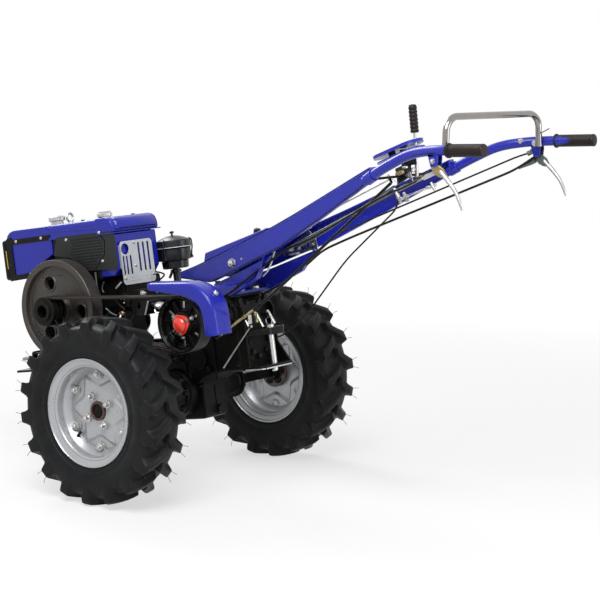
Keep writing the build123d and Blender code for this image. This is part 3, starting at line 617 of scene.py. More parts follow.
tank = {"left": 185.0, "right": -130.0, "low": 475.0, "top": 648.0, "rear": 432.0, "front": 668.0,
        "trim": 4.0, "cover": 18.0, "slats": 11}
tankSide = [(tank["front"], tank["low"]), (574, 483), (tank["rear"], 542), (tank["rear"], 640),
            (440, tank["top"]), (628, tank["top"]), (648, 642), (661, 631), (tank["front"], 614)]
piece("radiator_tank_shell", slab(tankSide, tank["right"], tank["left"]), "bluePaint", bevel=5, segments=3,
      replaces=["radiator_tank"])
trimLeft = (tank["left"], tank["left"] + tank["trim"])
trimRight = (tank["right"] - tank["trim"], tank["right"])
tankTrim = join(slab([(430, 616), (430, 597), (640, 596), (640, 610), (637, 615)], *trimLeft),
                slab([(637, 473), (672, 473), (672, 612), (655, 624), (637, 624)], *trimLeft),
                slab([(668, 462), (668, 483), (574, 484), (560, 479), (560, 466)], tank["left"] - 4,
                     tank["left"] + 3),
                block((430, 672), trimRight, (597, 616)), block((637, 672), trimRight, (473, 612)))
piece("tank_trim", tankTrim, "blackPaint", bevel=1.4)
coverFrame = pierced(rounded((-134, 466), (189, 616), 12), [rounded((-112, 490), (167, 596), 8)],
                     tank["front"], tank["front"] + tank["cover"], "x")
slatHigh = np.linspace(496, 590, tank["slats"])
slats = join(*[slab([(670, z - 3), (684, z - 6), (684, z - 3.5), (670, z)], -113, 168) for z in slatHigh])
piece("front_cover", join(coverFrame, slats), "blackPaint", bevel=1.2)
# Near-black sheet behind the slats: painted shade of the inside.
piece("front_core", block((668, 671), (-112, 167), (488, 598)), "paintedShadeBlack")
piece("front_mark", block((669, 672), (186, 189.8), (509, 577)), "yellowPaint", bevel=0.6)
piece("tank_screws", screws([(611, 189, 607), (478, 189, 608)], (0, 1, 0), 6), "brass")
piece("corner_screws", screws([(650, 189, 573), (648, 189, 522)], (0, 1, 0), 5.5), "blackPaint")

hood = {"left": 188.0, "right": -52.0, "low": 603.0, "top": 650.0, "ease": 16.0, "rear": 198.0,
        "front": 430.0}


def hoodSection():
    # Cross-section of the pressed hood as pairs (y, z), its two upper edges quarter arcs.
    left, right, low, top, ease = [hood[key] for key in ("left", "right", "low", "top", "ease")]
    return [(right, low), *arc((right + ease, top - ease), ease, 180, 90, 8),
            *arc((left - ease, top - ease), ease, 90, 0, 8), (left, low)]


piece("hood_middle", slab(hoodSection(), hood["rear"], hood["front"], "x"), "bluePaint", bevel=2.0,
      segments=3, replaces=["fuel_tank"])
rearSide = [(200, 595), (200, 652), (150, 652), (134, 648), (122, 638), (116, 622), (114, 604), (114, 595)]
piece("hood_rear", slab(rearSide, hood["right"] - 2, hood["left"] + 2), "bluePaint", bevel=9, segments=4,
      smooth=22)
# The rear panel follows the tank's curve and stands proud of it in the middle.
panelX, panelZ = np.array([(113, 604), (114.6, 618), (118, 630), (126, 641), (140, 648)]).T
panelRows = [np.column_stack([panelX - proud, np.full(5, y), panelZ + proud * 0.5])
             for y, proud in ((-40, 0), (-30, 3.5), (60, 3.5), (150, 3.5), (172, 0))]
tankPanel = join(gridShape(np.stack(panelRows)),
                 strip([(112.6, -44, 611), (112.6, 60, 609), (112.6, 178, 611)], 4, 4, (1, 0, 0)))
piece("rear_panel", tankPanel, "bluePaint", smooth=50, thick=1.5)
hoodFlange = join(block((109, 200), (-58, 194), (591.5, 595.5)),
                  block((198, 430), (-54, 189.4), (602, 604.5)))
piece("hood_flange", hoodFlange, "bluePaint", bevel=1.0)
hoodCrease = join(strip([(200, 189, 617), (300, 189, 621), (420, 189, 627)], 3.2, 2.4, (0, 1, 0)),
                  block((402, 438), (186.5, 189.5), (596, 604)))
piece("hood_crease", hoodCrease, "bluePaint", bevel=0.8)
hoodBolts = [(381, 60, hood["top"]), (381, -30, hood["top"]), (212, 140, hood["top"]),
             (212, -30, hood["top"])]
piece("hood_bolts", bolts(hoodBolts, (0, 0, 1), 8), "blackPaint")

filler = {"water": (524, 50), "fuel": (277, 50), "eye": (497, 8)}
lowCap = [(0, 0), (0, 21), (6, 21), (7, 25), (8, 27), (18, 27), (20, 25), (21, 12), (21, 0)]
tallCap = [(0, 0), (0, 23), (15, 23), (16, 28), (18, 30), (30, 30), (33, 27), (36, 15), (37, 0)]
fillers = join(lathe(tallCap, (*filler["water"], 648), (0, 0, 1), 48, lobes=8, swell=0.03),
               lathe(lowCap, (*filler["fuel"], 650), (0, 0, 1), 48, lobes=8, swell=0.035),
               block((250, 302), (44, 56), (668, 676)),
               lathe([(0, 33), (3, 33), (3, 20)], (*filler["water"], 647.5), (0, 0, 1), 40),
               lathe([(0, 31), (3, 31), (3, 20)], (*filler["fuel"], 649.5), (0, 0, 1), 40))
piece("filler_caps_shaped", fillers, "zinc", smooth=30, replaces=["filler_caps"])
eyeRing = tube(circleRoute((*filler["eye"], 672), (0, 1, 0), (0, 0, 1), 15.5), 4.6, 12, up=(1, 0, 0))
eyeBase = lathe([(0, 0), (0, 14), (5, 14), (7, 11), (7, 0)], (*filler["eye"], 648), (0, 0, 1), 32)
piece("eye_ring", join(eyeRing, eyeBase), "zinc", replaces=["lifting_eye"])
print("tanks")

grille = {"across": 8.7, "up": 10.5, "wide": 5.0, "high": 5.6, "margin": 5.0, "face": 191.0}
grilleOutline = [(398, 602), (422, 537), (342, 523), (265, 470), (119, 464), (111, 472), (109, 589),
                 (130, 602)]
grilleField = [(326, 598), (185, 596), (158, 569), (167, 523), (220, 474), (269, 474), (338, 527)]


def inside(points, outline):
    # True where a horizontal ray from the point crosses the outline an odd number of times.
    x, z = np.array(points, float).T
    crossings = np.zeros(len(x), int)
    for (x0, z0), (x1, z1) in zip(outline, outline[1:] + outline[:1]):
        between = (z0 > z) != (z1 > z)
        crossings += between & (x < (x1 - x0) * (z - z0) / (z1 - z0 + 1e-9) + x0)
    return crossings % 2 == 1


def boxAbout(x, z, wide, high):
    # Corners of a rectangle about a point.
    return [(x + a * wide / 2, z + b * high / 2) for a, b in ((-1, -1), (1, -1), (1, 1), (-1, 1))]


fieldHoles = [boxAbout(x, z, grille["wide"], grille["high"])
              for x in np.arange(164, 340, grille["across"]) for z in np.arange(480, 604, grille["up"])
              if inside(boxAbout(x, z, 2 * grille["margin"], 2 * grille["margin"]), grilleField).all()]
piece("grille_frame", pierced(grilleOutline, [grilleField[::-1]], 186.5, grille["face"]), "grillePaint",
      bevel=1.0, replaces=["side_grille"])
piece("grille_field", pierced(grilleField, fieldHoles, 190.9, 191.6), "grillePaint")
# Near-black sheet behind the grille's holes: painted shade of the engine's inside.
piece("grille_back", slab(grilleField, 186.2, 187), "paintedShadeBlack")
# Near-black strips along the grille's creases: painted shade in the folds.
creaseRoute = [(182, 191, 600), (158, 191, 569), (166, 191, 523), (220, 191, 473)]
grilleCreases = join(*[strip(ends, 2.0, 3.4, (0, 1, 0)) for ends in zip(creaseRoute, creaseRoute[1:])])
piece("grille_creases", grilleCreases, "paintedShadeBlack", bevel=0.5)
piece("grille_fold", join(strip([(330, 191, 598), (337, 191, 530)], 2, 3, (0, 1, 0)),
                          strip([(112, 190, 590), (113, 190, 468)], 4, 3, (0, 1, 0))), "grillePaint",
      bevel=0.7)
piece("grille_screws", screws([(348, 191, 589.5), (180, 191, 601), (179, 191, 498)], (0, 1, 0), 6.5), "zinc")

muffler = {"left": 185.5, "right": -34.0, "guard": 104.0, "shortSlots": (162, 145, 125),
           "longSlots": (78, 53, 29)}
mufflerSide = [(114, 463), (114, 590), (200, 590), (200, 440), (134, 440)]
piece("muffler_shell", slab(mufflerSide, muffler["right"], muffler["left"]), "bluePaint", bevel=5, segments=3,
      replaces=["muffler_box"])
slots = [rounded((y - 4.5, 440), (y + 4.5, 508), 4.4) for y in muffler["shortSlots"]]
slots += [rounded((y - 5, 446), (y + 5, 551), 4.9) for y in muffler["longSlots"]]
guardPlate = pierced(rounded((6, 404), (174, 560), 14), slots + [arc((149, 532), 20, 0, 345, 24)],
                     muffler["guard"], muffler["guard"] + 2, "x")
guardSides = join(*[block((104.5, 113), (y, y + 2), (465, 548)) for y in (6, 172)])
slotRibs = join(*[strip([(103.6, y, 424), (103.6, y, 434)], 8, 1.5, (0, 1, 0))
                  for y in muffler["shortSlots"] + muffler["longSlots"]],
                strip([(103.6, 14, 418), (103.6, 166, 418)], 3, 1.5, (0, 0, 1)))
piece("guard_plate", join(guardPlate, guardSides, slotRibs), "plateSteel", bevel=0.7,
      replaces=["muffler_guard"])
guardScrews = [(muffler["guard"], y, z) for y, z in ((100, 552), (163, 428), (103, 470), (15, 430))]
piece("guard_screws", screws(guardScrews, (-1, 0, 0), 6), "zinc")
print("grille and muffler")

cleaner = {"at": (99, -102, 0), "clips": (100, 215, 330), "clipAt": 63.0, "pipe": 14.0}
cleanerBody = [(437, 0), (437, 44), (440, 48), (464, 50), (467, 54), (468, 60), (471, 61), (508, 62),
               (511, 64), (513, 67), (518, 67), (519, 65.4), (537, 64.6), (541, 62), (544, 55), (550, 42),
               (555, 26), (558, 11), (558, 4), (565, 3.6), (566, 8), (572, 8), (574, 6), (574, 0)]
piece("air_cleaner_shaped", lathe(cleanerBody, cleaner["at"], (0, 0, 1), 72), "darkPlastic", smooth=28,
      replaces=["air_cleaner"])
# Painted reflection: a thin light steel band where the lid's rim catches a bright reflection.
cleanerHighlightBand = [(513.5, 66.5), (513.5, 68.6), (516, 68.6), (516, 66.5)]
piece("cleaner_highlight_band", lathe(cleanerHighlightBand, cleaner["at"], (0, 0, 1), 72, closed=True), "plateSteel", smooth=40)
clips = []
clipBends = ((0, 476), (3, 500), (6, 512), (5, 538), (-4, 544))
for angle in np.radians(cleaner["clips"]):
    way = np.array((cos(angle), sin(angle), 0))
    foot = cleaner["at"] + way * cleaner["clipAt"]
    clipRoute = [foot + way * out + (0, 0, z) for out, z in clipBends]
    clips += [wire(clipRoute, 2.6, 5, 8, up=(0.3, 0.2, 0.1)), disc(470, 480, 6, foot, (0, 0, 1), 12)]
piece("cleaner_clips", join(*clips), "darkPlastic", smooth=50)
cleanerRib = [(490, 60.5), (491, 63), (495, 63), (496, 60.5)]
piece("cleaner_ribs", lathe(cleanerRib, cleaner["at"], (0, 0, 1), 72, closed=True), "darkPlastic", smooth=40)
intakeBend = bent([(99, -102, 437), (99, -102, 348), (99, -45.5, 348)], 40, 12)
piece("intake_bend", join(tube(intakeBend, cleaner["pipe"], 24, up=(1, 0.02, 0.03)),
                          lathe([(0, 13), (0, 19), (9, 19), (9, 13)], (99, -102, 424), (0, 0, 1), 32)),
      "darkPlastic", smooth=45, replaces=["intake_pipe"])
print("air cleaner")

engine = {"front": 540.0, "rear": 262.0, "left": 195.0, "right": -95.0, "low": 186.0, "top": 466.0,
          "chamfer": 14.0, "crank": (372.0, 345.0), "ribs": 8}
crankX, crankZ = engine["crank"]
onCrank = (crankX, 0, crankZ)
front, rear, low, top, cut = [engine[key] for key in ("front", "rear", "low", "top", "chamfer")]
crankcase = [(rear, low + cut), (rear + cut, low), (520, low), (front, 206), (front, 450),
             (front - cut, top), (rear, top)]
waist = [(x * 0.94 + 24, z * 0.94 + 20) for x, z in crankcase]
caseShape = join(slab(crankcase, engine["right"] + 7, engine["left"] - 7),
                 slab(waist, engine["right"], engine["left"]))
piece("crankcase", caseShape, "castBlack", bevel=8, segments=3, replaces=["engine_block"])
hopperSide = [(200, 430), (200, 603), (426, 603), (426, 430)]
piece("hopper", slab(hopperSide, -110, 186), "castBlack", bevel=9, segments=3)
barrelSide = [(112, 325), (112, 430), (rear, 430), (rear, 325)]
piece("barrel", slab(barrelSide, -30, 150), "castBlack", bevel=9, segments=3)
ribSet = [block((270 + 34 * i, 274 + 34 * i), (188, 199), (196, 214)) for i in range(engine["ribs"])]
ribSet += [block((x, x + 5), (148, 156), (330, 424)) for x in (128, 246)]
ribSet += [block((536, 548), (y, y + 5), (212, 440)) for y in (-60, 60, 150)]
ribSet += [slab([(rear, 300), (rear, 325), (150, 325)], y, y + 7) for y in (-20, 55, 130)]
piece("engine_ribs", join(*ribSet), "castBlack", bevel=1.6)
# Three round covers on the right side.
gearCover = lathe([(0, 0), (0, 92), (10, 92), (14, 86), (20, 84), (24, 78), (24, 0)], (crankX, -95, crankZ),
                  (0, -1, 0), 64)
lowerCover = lathe([(0, 0), (0, 62), (9, 62), (13, 56), (16, 0)], (468, -95, 262), (0, -1, 0), 48)
upperCover = lathe([(0, 0), (0, 48), (9, 48), (13, 42), (16, 0)], (306, -95, 262), (0, -1, 0), 48)
piece("gear_covers", join(gearCover, lowerCover, upperCover), "castBlack", bevel=1.5, smooth=30)
coverBolts = [(crankX + 84 * cos(t), -106, crankZ + 84 * sin(t)) for t in np.radians(range(15, 360, 45))]
coverBolts += [(468 + 55 * cos(t), -105, 262 + 55 * sin(t)) for t in np.radians(range(0, 360, 60))]
piece("cover_bolts", bolts(coverBolts, (0, -1, 0), 8), "zinc", smooth=30)
crankSeal = [(0, 22), (0, 98), (8, 98), (11, 92), (11, 60), (14, 56), (14, 22)]
piece("crank_seal", lathe(crankSeal, (crankX, 190, crankZ)), "castBlack", smooth=30)
crankEnd = [(195, 0), (195, 22), (296, 22), (300, 19), (300, 9), (296, 6), (296, 0)]
piece("crank_end", lathe(crankEnd, onCrank, steps=40), "castBlack", smooth=35)

# Cylinder head at the rear, with its rocker cover.
headSide = [(60, 318), (66, 312), (112, 312), (112, 384), (66, 384), (60, 378)]
piece("head_block", slab(headSide, -45, 150), "castBlack", bevel=4, segments=3, replaces=["cylinder_head"])
rockerSide = [(95, 293), (43, 291), (22, 337), (30, 345), (74, 342)]
piece("rocker_cover", slab(rockerSide, 20, 150), "blackPaint", bevel=5, segments=3)
piece("rocker_edge", strip([(23, 151, 339), (45, 151, 291)], 6, 3, (0, 1, 0)), "plateSteel", bevel=1)
rockerNut = lathe([(0, 0), (0, 24), (4, 24), (9, 21), (13, 13), (15, 0)], (24, 100, 318),
                  (-0.3, 0.15, 0.94), 40)
piece("rocker_nuts", rockerNut, "zinc", smooth=35)
rockerRing = lathe([(0, 9), (0, 13), (5, 13), (5, 9)], (20, 110, 300), (-0.6, 0.6, 0.5), 32, closed=True)
piece("rocker_ring", rockerRing, "zinc", smooth=40)
roundCap = lathe([(0, 0), (0, 24), (6, 24), (8, 20), (8, 12), (14, 10), (15, 0)], (130, 150, 352), steps=40)
piece("side_cap", roundCap, "blackPaint", smooth=40)
piece("cap_glints", screws([(140, 165, 358), (122, 165, 356), (127, 165, 342)], (0, 1, 0), 4), "zinc")
headNuts = [(60, -25, 330), (60, -25, 366), (60, 136, 368), (60, 60, 372)]
piece("head_nuts", bolts(headNuts, (-1, 0, 0), 10, stud=8), "zinc", smooth=30)
brassFitting = join(lathe([(0, 0), (0, 9), (8, 9), (8, 6), (18, 6), (18, 0)], (151, 150, 306), steps=6),
                    disc(0, 24, 5, (151, 160, 306), (0, 0.6, -1), 12))
piece("brass_fitting", brassFitting, "brass", smooth=30)
# Fuel pipes and wires on the engine: route, radius, finish.
engineWires = [([(224, 190, 462), (226, 190, 404)], 4.4, "greyZinc"),
               ([(190, 188, 425), (205, 188, 401), (199, 186, 386)], 2.6, "greyZinc"),
               ([(128, 165, 416), (157, 165, 396)], 3.2, "plateSteel"),
               ([(258, 196, 420), (240, 198, 404), (232, 198, 372), (236, 197, 340)], 3.4, "greyZinc"),
               ([(112, 0, 436), (84, 0, 431), (64, 0, 422), (80, 0, 412), (98, 0, 402)], 3.0, "cableBlack"),
               ([(118, -100, 434), (120, -97, 420), (126, -90, 404)], 5.0, "rustyIron"),
               ([(172, 160, 352), (150, 164, 334), (132, 160, 318)], 3.4, "cableBlack"),
               ([(196, 190, 330), (176, 186, 310), (160, 176, 300)], 2.8, "greyZinc"),
               ([(300, -110, 590), (300, -118, 520), (330, -112, 470), (340, -104, 420)], 4.0, "cableBlack")]
for index, (points, radius, look) in enumerate(engineWires):
    piece("engine_line_%d" % index, wire(points, radius, 14, 12), look, smooth=50)

flywheel = {"holeTurns": (69, 189, 309), "holeAt": 103.0, "hole": 25.0}
belt = {"lines": (276, 294, 312), "engineRadius": 52.0, "clutchRadius": 98.0, "clutch": (-262.0, 258.0)}
clutchX, clutchZ = belt["clutch"]
onClutch = (clutchX, 0, clutchZ)


def grooved(radius):
    # Pairs (along, radius) of one square-shouldered groove for each belt.
    return [(line + step, radius - deep) for line in belt["lines"]
            for step, deep in ((-7, 0), (-4.6, 9.5), (4.6, 9.5), (7, 0))]


rimSection = [(207, 158), (207, 178), (209, 180), (260, 180), (262, 178), (262, 160), (260, 157.5),
              (243, 155), (243, 150), (223, 150), (223, 155), (209, 157)]
hubSection = [(207, 23), (207, 44), (222, 50), (222, 56), (243, 56), (250, 52), (262, 46), (262, 23)]
holeCentres = [(crankX + flywheel["holeAt"] * cos(t), crankZ + flywheel["holeAt"] * sin(t))
               for t in np.radians(flywheel["holeTurns"])]
web = pierced(arc(engine["crank"], 156, 0, 357, 120),
              [arc(centre, flywheel["hole"], 0, 350, 36) for centre in holeCentres], 225, 241)
flywheelCast = join(lathe(rimSection, onCrank, steps=128, closed=True),
                    lathe(hubSection, onCrank, closed=True), web)
piece("flywheel_cast", flywheelCast, "flywheelIron", bevel=1.6, smooth=30, replaces=["flywheel"])
holeLip = [(240, 25), (244, 26), (244, 30), (240, 33)]
piece("flywheel_lips", join(*[lathe(holeLip, (x, 0, z), steps=40) for x, z in holeCentres]), "flywheelIron",
      smooth=35)
pulleySection = [(262, 23), (262, 52), *grooved(belt["engineRadius"]), (326, 52), (327, 50), (327, 35),
                 (335, 35), (335, 23)]
piece("engine_pulley_cast", lathe(pulleySection, onCrank, steps=72, closed=True), "castBlack", smooth=30,
      bevel=0.7, replaces=["engine_pulley"])
print("engine")

clutch = {"spokes": 6, "spokeTurn": 8.0, "cap": 309.0, "capTurn": -130.0}
drumSection = [(258, 84), (258, 96), (260, 98), *grooved(belt["clutchRadius"]), (320, 98), (322, 96),
               (322, 91), (320, 89), (300, 87), (292, 85), (290, 80), (262, 80)]
drumWeb = lathe([(284, 20.5), (284, 82), (290, 84), (290, 60), (294, 44), (308, 42), (309, 38), (309, 20.5)],
                onClutch, steps=72, closed=True)


def clutchRay(degrees, y, radii):
    # Points on one ray of the drum: axis + r (cos t, sin t) for each r of `radii`.
    t = radians(degrees)
    return [(clutchX + r * cos(t), y, clutchZ + r * sin(t)) for r in radii]


spokes = [strip(clutchRay(clutch["spokeTurn"] + 360 / clutch["spokes"] * index, 296, (38, 60, 86)), 12, 14)
          for index in range(clutch["spokes"])]
piece("clutch_drum", join(lathe(drumSection, onClutch, steps=96, closed=True), drumWeb, *spokes),
      "blackPaint", bevel=1.2, smooth=30, replaces=["clutch_pulley"])
rings = join(*[lathe([(depth, r), (depth + 1.6, r - 0.8), (depth, r - 3)], onClutch, steps=96)
               for depth, r in ((291, 74), (293, 56))])
piece("drum_rings", rings, "blackPaint", smooth=40)
fingerTurns = range(38, 398, 60)
piece("drum_slots", join(*[strip(clutchRay(turn, 293, (54, 78)), 4, 8) for turn in fingerTurns]), "zinc",
      bevel=1.2)
fingerBolts = [clutchRay(turn, 300, (46,))[0] for turn in fingerTurns[::2]]
piece("clutch_fingers", bolts(fingerBolts, (0, 1, 0), 8, stud=4), "zinc", smooth=30)
capFlange = lathe([(0, 0), (0, 35), (5, 35), (7, 32), (7, 0)], way=(0, 0, 1), steps=72, lobes=3, swell=0.10)
capAt = (clutchX, clutch["cap"], clutchZ)
capDome = lathe([(5, 29), (10, 28.5), (16, 25), (21, 18.5), (24, 10), (25, 0)], capAt, steps=48)
piece("red_cap", join(turned(capFlange, capAt, (0, 1, 0), clutch["capTurn"]), capDome), "redPaint", smooth=35,
      replaces=["clutch_cap"])
capBolts = [clutchRay(turn, clutch["cap"] + 7, (32.5,))[0] for turn in (40, 160, 280)]
piece("cap_bolts", bolts(capBolts, (0, 1, 0), 7), "zinc", smooth=30)
neckSection = [(84, 0), (84, 68), (92, 68), (96, 62), (97, 52), (110, 47), (180, 44), (246, 40), (246, 0)]
neckEar = [(-290, 250), (-275, 225), (-345, 196), (-356, 208)]
housing = join(lathe(neckSection, onClutch), slab(neckEar, 224, 232), disc(246, 322, 20, onClutch, steps=40))
piece("clutch_neck", housing, "castBlack", bevel=1.5, smooth=30, replaces=["clutch_housing"])
neckBolts = [clutchRay(turn, 94, (57,))[0] for turn in range(20, 380, 60)]
piece("neck_bolts", bolts(neckBolts, (0, 1, 0), 10), "blackPaint", smooth=30)


def beltLoop(inset, steps=40):
    # Open belt run round two circles: the tangent angle is acos((R - r) / distance) from the line of centres.
    near, far = np.array(engine["crank"]), np.array(belt["clutch"])
    small, large = belt["engineRadius"] - inset, belt["clutchRadius"] - inset
    line = far - near
    lean = np.arctan2(line[1], line[0])
    grip = np.arccos((large - small) / np.linalg.norm(line))
    frontTurn = np.linspace(lean + grip, lean - grip + 2 * pi, steps)
    rearTurn = np.linspace(lean - grip, lean + grip, steps)
    return np.vstack([near + small * np.stack([np.cos(frontTurn), np.sin(frontTurn)], -1),
                      far + large * np.stack([np.cos(rearTurn), np.sin(rearTurn)], -1)])


def beltRing(insets, halves, line):
    # Closed band: rings at several insets and half widths about the belt's own line.
    rows = []
    for inset, half in list(zip(insets, halves)) + list(zip(insets[::-1], [-h for h in halves[::-1]])):
        loop = beltLoop(inset)
        rows.append(np.column_stack([loop[:, 0], np.full(len(loop), line + half), loop[:, 1]]))
    return gridShape(np.stack(rows, 1), wrapU=True, wrapV=True)


piece("belt_bodies", join(*[beltRing([0.2, 1.6, 9], [6.2, 6.5, 4.4], line) for line in belt["lines"]]),
      "beltRubber", smooth=40, replaces=["drive_belts"])
piece("belt_cords", join(*[beltRing([2.0, 3.6], [6.9, 6.7], line) for line in belt["lines"]]), "beltCord",
      smooth=40)

guard = {"outer": 350.0, "inner": 270.0, "shoulder": 13.0, "rows": 72, "sheet": 3.0}
guardTop = bent([(-165, 408), (-350, 397), (-403, 372), (-434, 336), (-445, 298), (-447, 214)], 34, 8)
guardLip = bent([(-170, 386), (-330, 356), (-385, 328), (-400, 290), (-400, 221), (-411, 211)], 22, 8)


def guardSheet():
    # Rows between the top line T and the lip line L: T + d (L - T) / |L - T|, at depth d and at y, from the
    # outer edge over a round shoulder and across the top to the inner edge.
    top, lip = resampled(guardTop, guard["rows"]), resampled(guardLip, guard["rows"])
    reach = np.linalg.norm(lip - top, axis=1)[:, None]
    inward = (lip - top) / reach
    outer, inner, r = guard["outer"], guard["inner"], guard["shoulder"]
    edge = [(reach, outer - 1.5), (reach * 0.99, outer), (reach * 0.6, outer)]
    shoulder = [(r - r * sin(a) + 0 * reach, outer - r + r * cos(a)) for a in np.linspace(0, pi / 2, 7)]
    roof = [(0 * reach, 300), (0 * reach, inner + 5), (0.8 + 0 * reach, inner + 1.5), (4 + 0 * reach, inner),
            (reach * 0.55, inner)]
    flats = [(top + inward * depth, y) for depth, y in edge + shoulder + roof]
    return gridShape(np.stack([np.column_stack([p[:, 0], np.full(len(p), y), p[:, 1]]) for p, y in flats], 1))


piece("guard_sheet", guardSheet(), "bluePaint", smooth=35, thick=guard["sheet"], replaces=["belt_guard"])
creases = join(tube([(-442, 348, 303), (-442.5, 310, 309), (-441, 272, 316)], 2.4, 10, up=(0, 0, 1)),
               tube([(-446, 346, 262), (-446, 300, 264), (-446, 274, 265)], 1.6, 8, up=(0, 0, 1)),
               strip([(-168, 345, 408.5), (-168, 274, 408.5)], 8, 3, (1, 0, 0)),
               block((-372, -352), (106, 271), (366, 372)))
piece("guard_creases", creases, "bluePaint", smooth=45)
piece("guard_bolts", bolts([(-425, 300, 352)], (-0.8, 0, 0.6), 9), "zinc", smooth=30)
print("drive")

gearCase = {"half": 85.0, "crank": (-160.0, 306.0), "turret": -180.0}
caseSide = [(-130, 40), (-110, 25), (88, 25), (88, 160), (30, 225), (0, 300), (-60, 328), (-292, 328),
            (-317, 300), (-317, 62), (-200, 62)]
legSide = [(-110, -88), (-98, -100), (60, -100), (88, -60), (88, 60), (-130, 60), (-110, 20)]
half = gearCase["half"]
piece("case_body", slab(caseSide, -half, half), "castBlack", bevel=15, segments=4, replaces=["gearbox"])
piece("case_leg", slab(legSide, -56, 70), "castBlack", bevel=12, segments=4)
# Round bosses on the case's sides: radius, height to the edge and to the top, place, side.
bossSizes = [(46, 92, 95, (-160, 0, 230), 1), (40, 92, 95, (-120, 0, 118), 1),
             (34, 94, 97, (-160, 0, 230), -1), (46, 92, 95, (-250, 0, 140), -1)]
bosses = join(lathe([(-105, 0), (-105, 78), (-100, 85), (-70, 88), (70, 88), (100, 85), (105, 78),
                     (105, 0)], steps=72),
              *[lathe([(half, 0), (half, r), (edge, r), (top, r - 4), (top, 0)], at, (0, side, 0), 48)
                for r, edge, top, at, side in bossSizes])
piece("case_bosses", bosses, "castBlack", bevel=1.5, smooth=30)
flanges = join(block((-114, 90), (-60, 73), (20, 26)),
               block((-300, -60), (-88, 88), (318, 330)),
               slab([(-322, 300), (-322, 68), (-317, 62), (-317, 304)], -84, 84))
piece("case_flanges", flanges, "castBlack", bevel=2.5)
ribBars = [slab([(-109, 16), (-113, 10), (-113, -76), (-109, -84)], 4, 9)]
ribBars += [slab([(x, 40), (x + 7, 40), (x + 7, 300), (x, 300)], 84, 90) for x in (-60, -200)]
ribBars += [slab([(x, 66), (x + 7, 66), (x + 7, 300), (x, 300)], -90, -84) for x in (-90, -200, -290)]
piece("case_ribs", join(*ribBars), "castBlack", bevel=2.2)
rightBolts = [(x, -88, z) for x, z in ((-60, 250), (-140, 300), (-300, 90), (-90, 60))]
leftBolts = [(x, 88, z) for x, z in ((-60, 250), (-70, 60), (-300, 90), (-160, 80))]
caseBolts = join(bolts([(x, y, 330) for x in (-290, -230, -120, -75) for y in (-76, 76)], (0, 0, 1), 10),
                 bolts([(-322, y, 306) for y in (-70, 70)], (-1, 0, 0), 14),
                 bolts([(-317, y, 293) for y in (60, 25, -40)], (-1, 0, 0), 12),
                 bolts([(x, y, 20) for x in (-96, -40, 30, 76) for y in (66, -54)], (0, 0, -1), 9),
                 bolts(rightBolts, (0, -1, 0), 10), bolts(leftBolts, (0, 1, 0), 10))
piece("case_bolts", caseBolts, "blackPaint", smooth=30)
piece("drain_plug", turned(bolt(20), (-110, 0, -74), (-1, 0, 0)), "castBlack", smooth=30)
turretSection = [(326, 0), (326, 34), (336, 34), (338, 26), (350, 24), (354, 20), (356, 10), (380, 9),
                 (380, 0)]
piece("shift_turret", lathe(turretSection, (gearCase["turret"], 0, 0), (0, 0, 1), 40), "castBlack", smooth=32)
levelCap = lathe([(328, 0), (328, 19), (340, 19), (344, 15), (344, 0)], (-110, 40, 0), (0, 0, 1), 24,
                 lobes=6, swell=0.05)
piece("level_cap", levelCap, "redPaint", smooth=35)

housingSide = [(104, 22.2), (104, 78), (116, 78), (119, 66), (140, 60), (205, 47), (212, 50), (214, 60),
               (225, 60), (225, 22.2)]
housingRibs = [strip([(62 * cos(t), 112, 62 * sin(t)), (48 * cos(t), 210, 48 * sin(t))], 16, 6,
                     (cos(t), 0, sin(t))) for t in np.radians(range(30, 390, 60))]
piece("axle_casings", bothSides(join(lathe(housingSide, steps=72, closed=True), *housingRibs)), "castBlack",
      bevel=1.6, smooth=32, replaces=["axle_housings"])
studs = [(69 * cos(t), 116, 69 * sin(t)) for t in np.radians(range(0, 360, 45))]
endStuds = [(53 * cos(t), 224, 53 * sin(t)) for t in np.radians(range(20, 380, 60))]
casingBolts = join(bolts(studs, (0, 1, 0), 9, stud=4), bolts(endStuds, (0, 1, 0), 7, stud=3))
piece("casing_bolts", bothSides(casingBolts), "blackPaint", smooth=30)
crankAxle = lathe([(half, 0), (half, 20), (92, 20), (94, 12), (126, 12), (126, 0)],
                  (gearCase["crank"][0], 0, gearCase["crank"][1]), steps=28)
crankArm = slab([(-150, 316), (-160, 320), (-170, 316), (-208, 313), (-212, 306), (-208, 300), (-170, 297),
                 (-150, 297)], 114, 120)
piece("bell_cranks", bothSides(join(crankAxle, crankArm)), "zinc", bevel=1.0, smooth=32,
      replaces=["steering_arms"])
print("gearbox")

hitch = {"half": 85.0, "jaw": 70.0, "back": -327.0, "rear": -412.0, "pin": (-390.0, 0.0), "pinRadius": 11.0,
         "lower": (64.0, 76.0), "upper": (190.0, 202.0)}
back, rear, half, jaw = [hitch[key] for key in ("back", "rear", "half", "jaw")]
pinHole = arc(hitch["pin"], hitch["pinRadius"] + 0.6, 0, 345, 24)
lowerPlate = pierced([(back, -half), (back, half), (-398, half), (rear, 72), (rear, -72), (-398, -half)],
                     [pinHole], *hitch["lower"], "z")
upperPlate = pierced([(back, -jaw), (back, jaw), (-348, jaw), (-405, 34), (rear, 22), (rear, -48),
                      (-390, -jaw)], [pinHole], *hitch["upper"], "z")
backPlate = slab([(-half, 64), (half, 64), (half, 282), (77, 290), (-77, 290), (-half, 282)], back,
                 back + 10, "x")
cheek = slab([(back, 76), (-351, 76), (-351, 270), (-340, 290), (back, 290)], 78, half)
gusset = slab([(-351, 76), (-400, 76), (-351, 150)], -half, -78)
piece("hitch_casting", join(lowerPlate, upperPlate, backPlate, bothSides(cheek), gusset), "castBlack",
      bevel=2.4, segments=3, replaces=["hitch_bracket"])
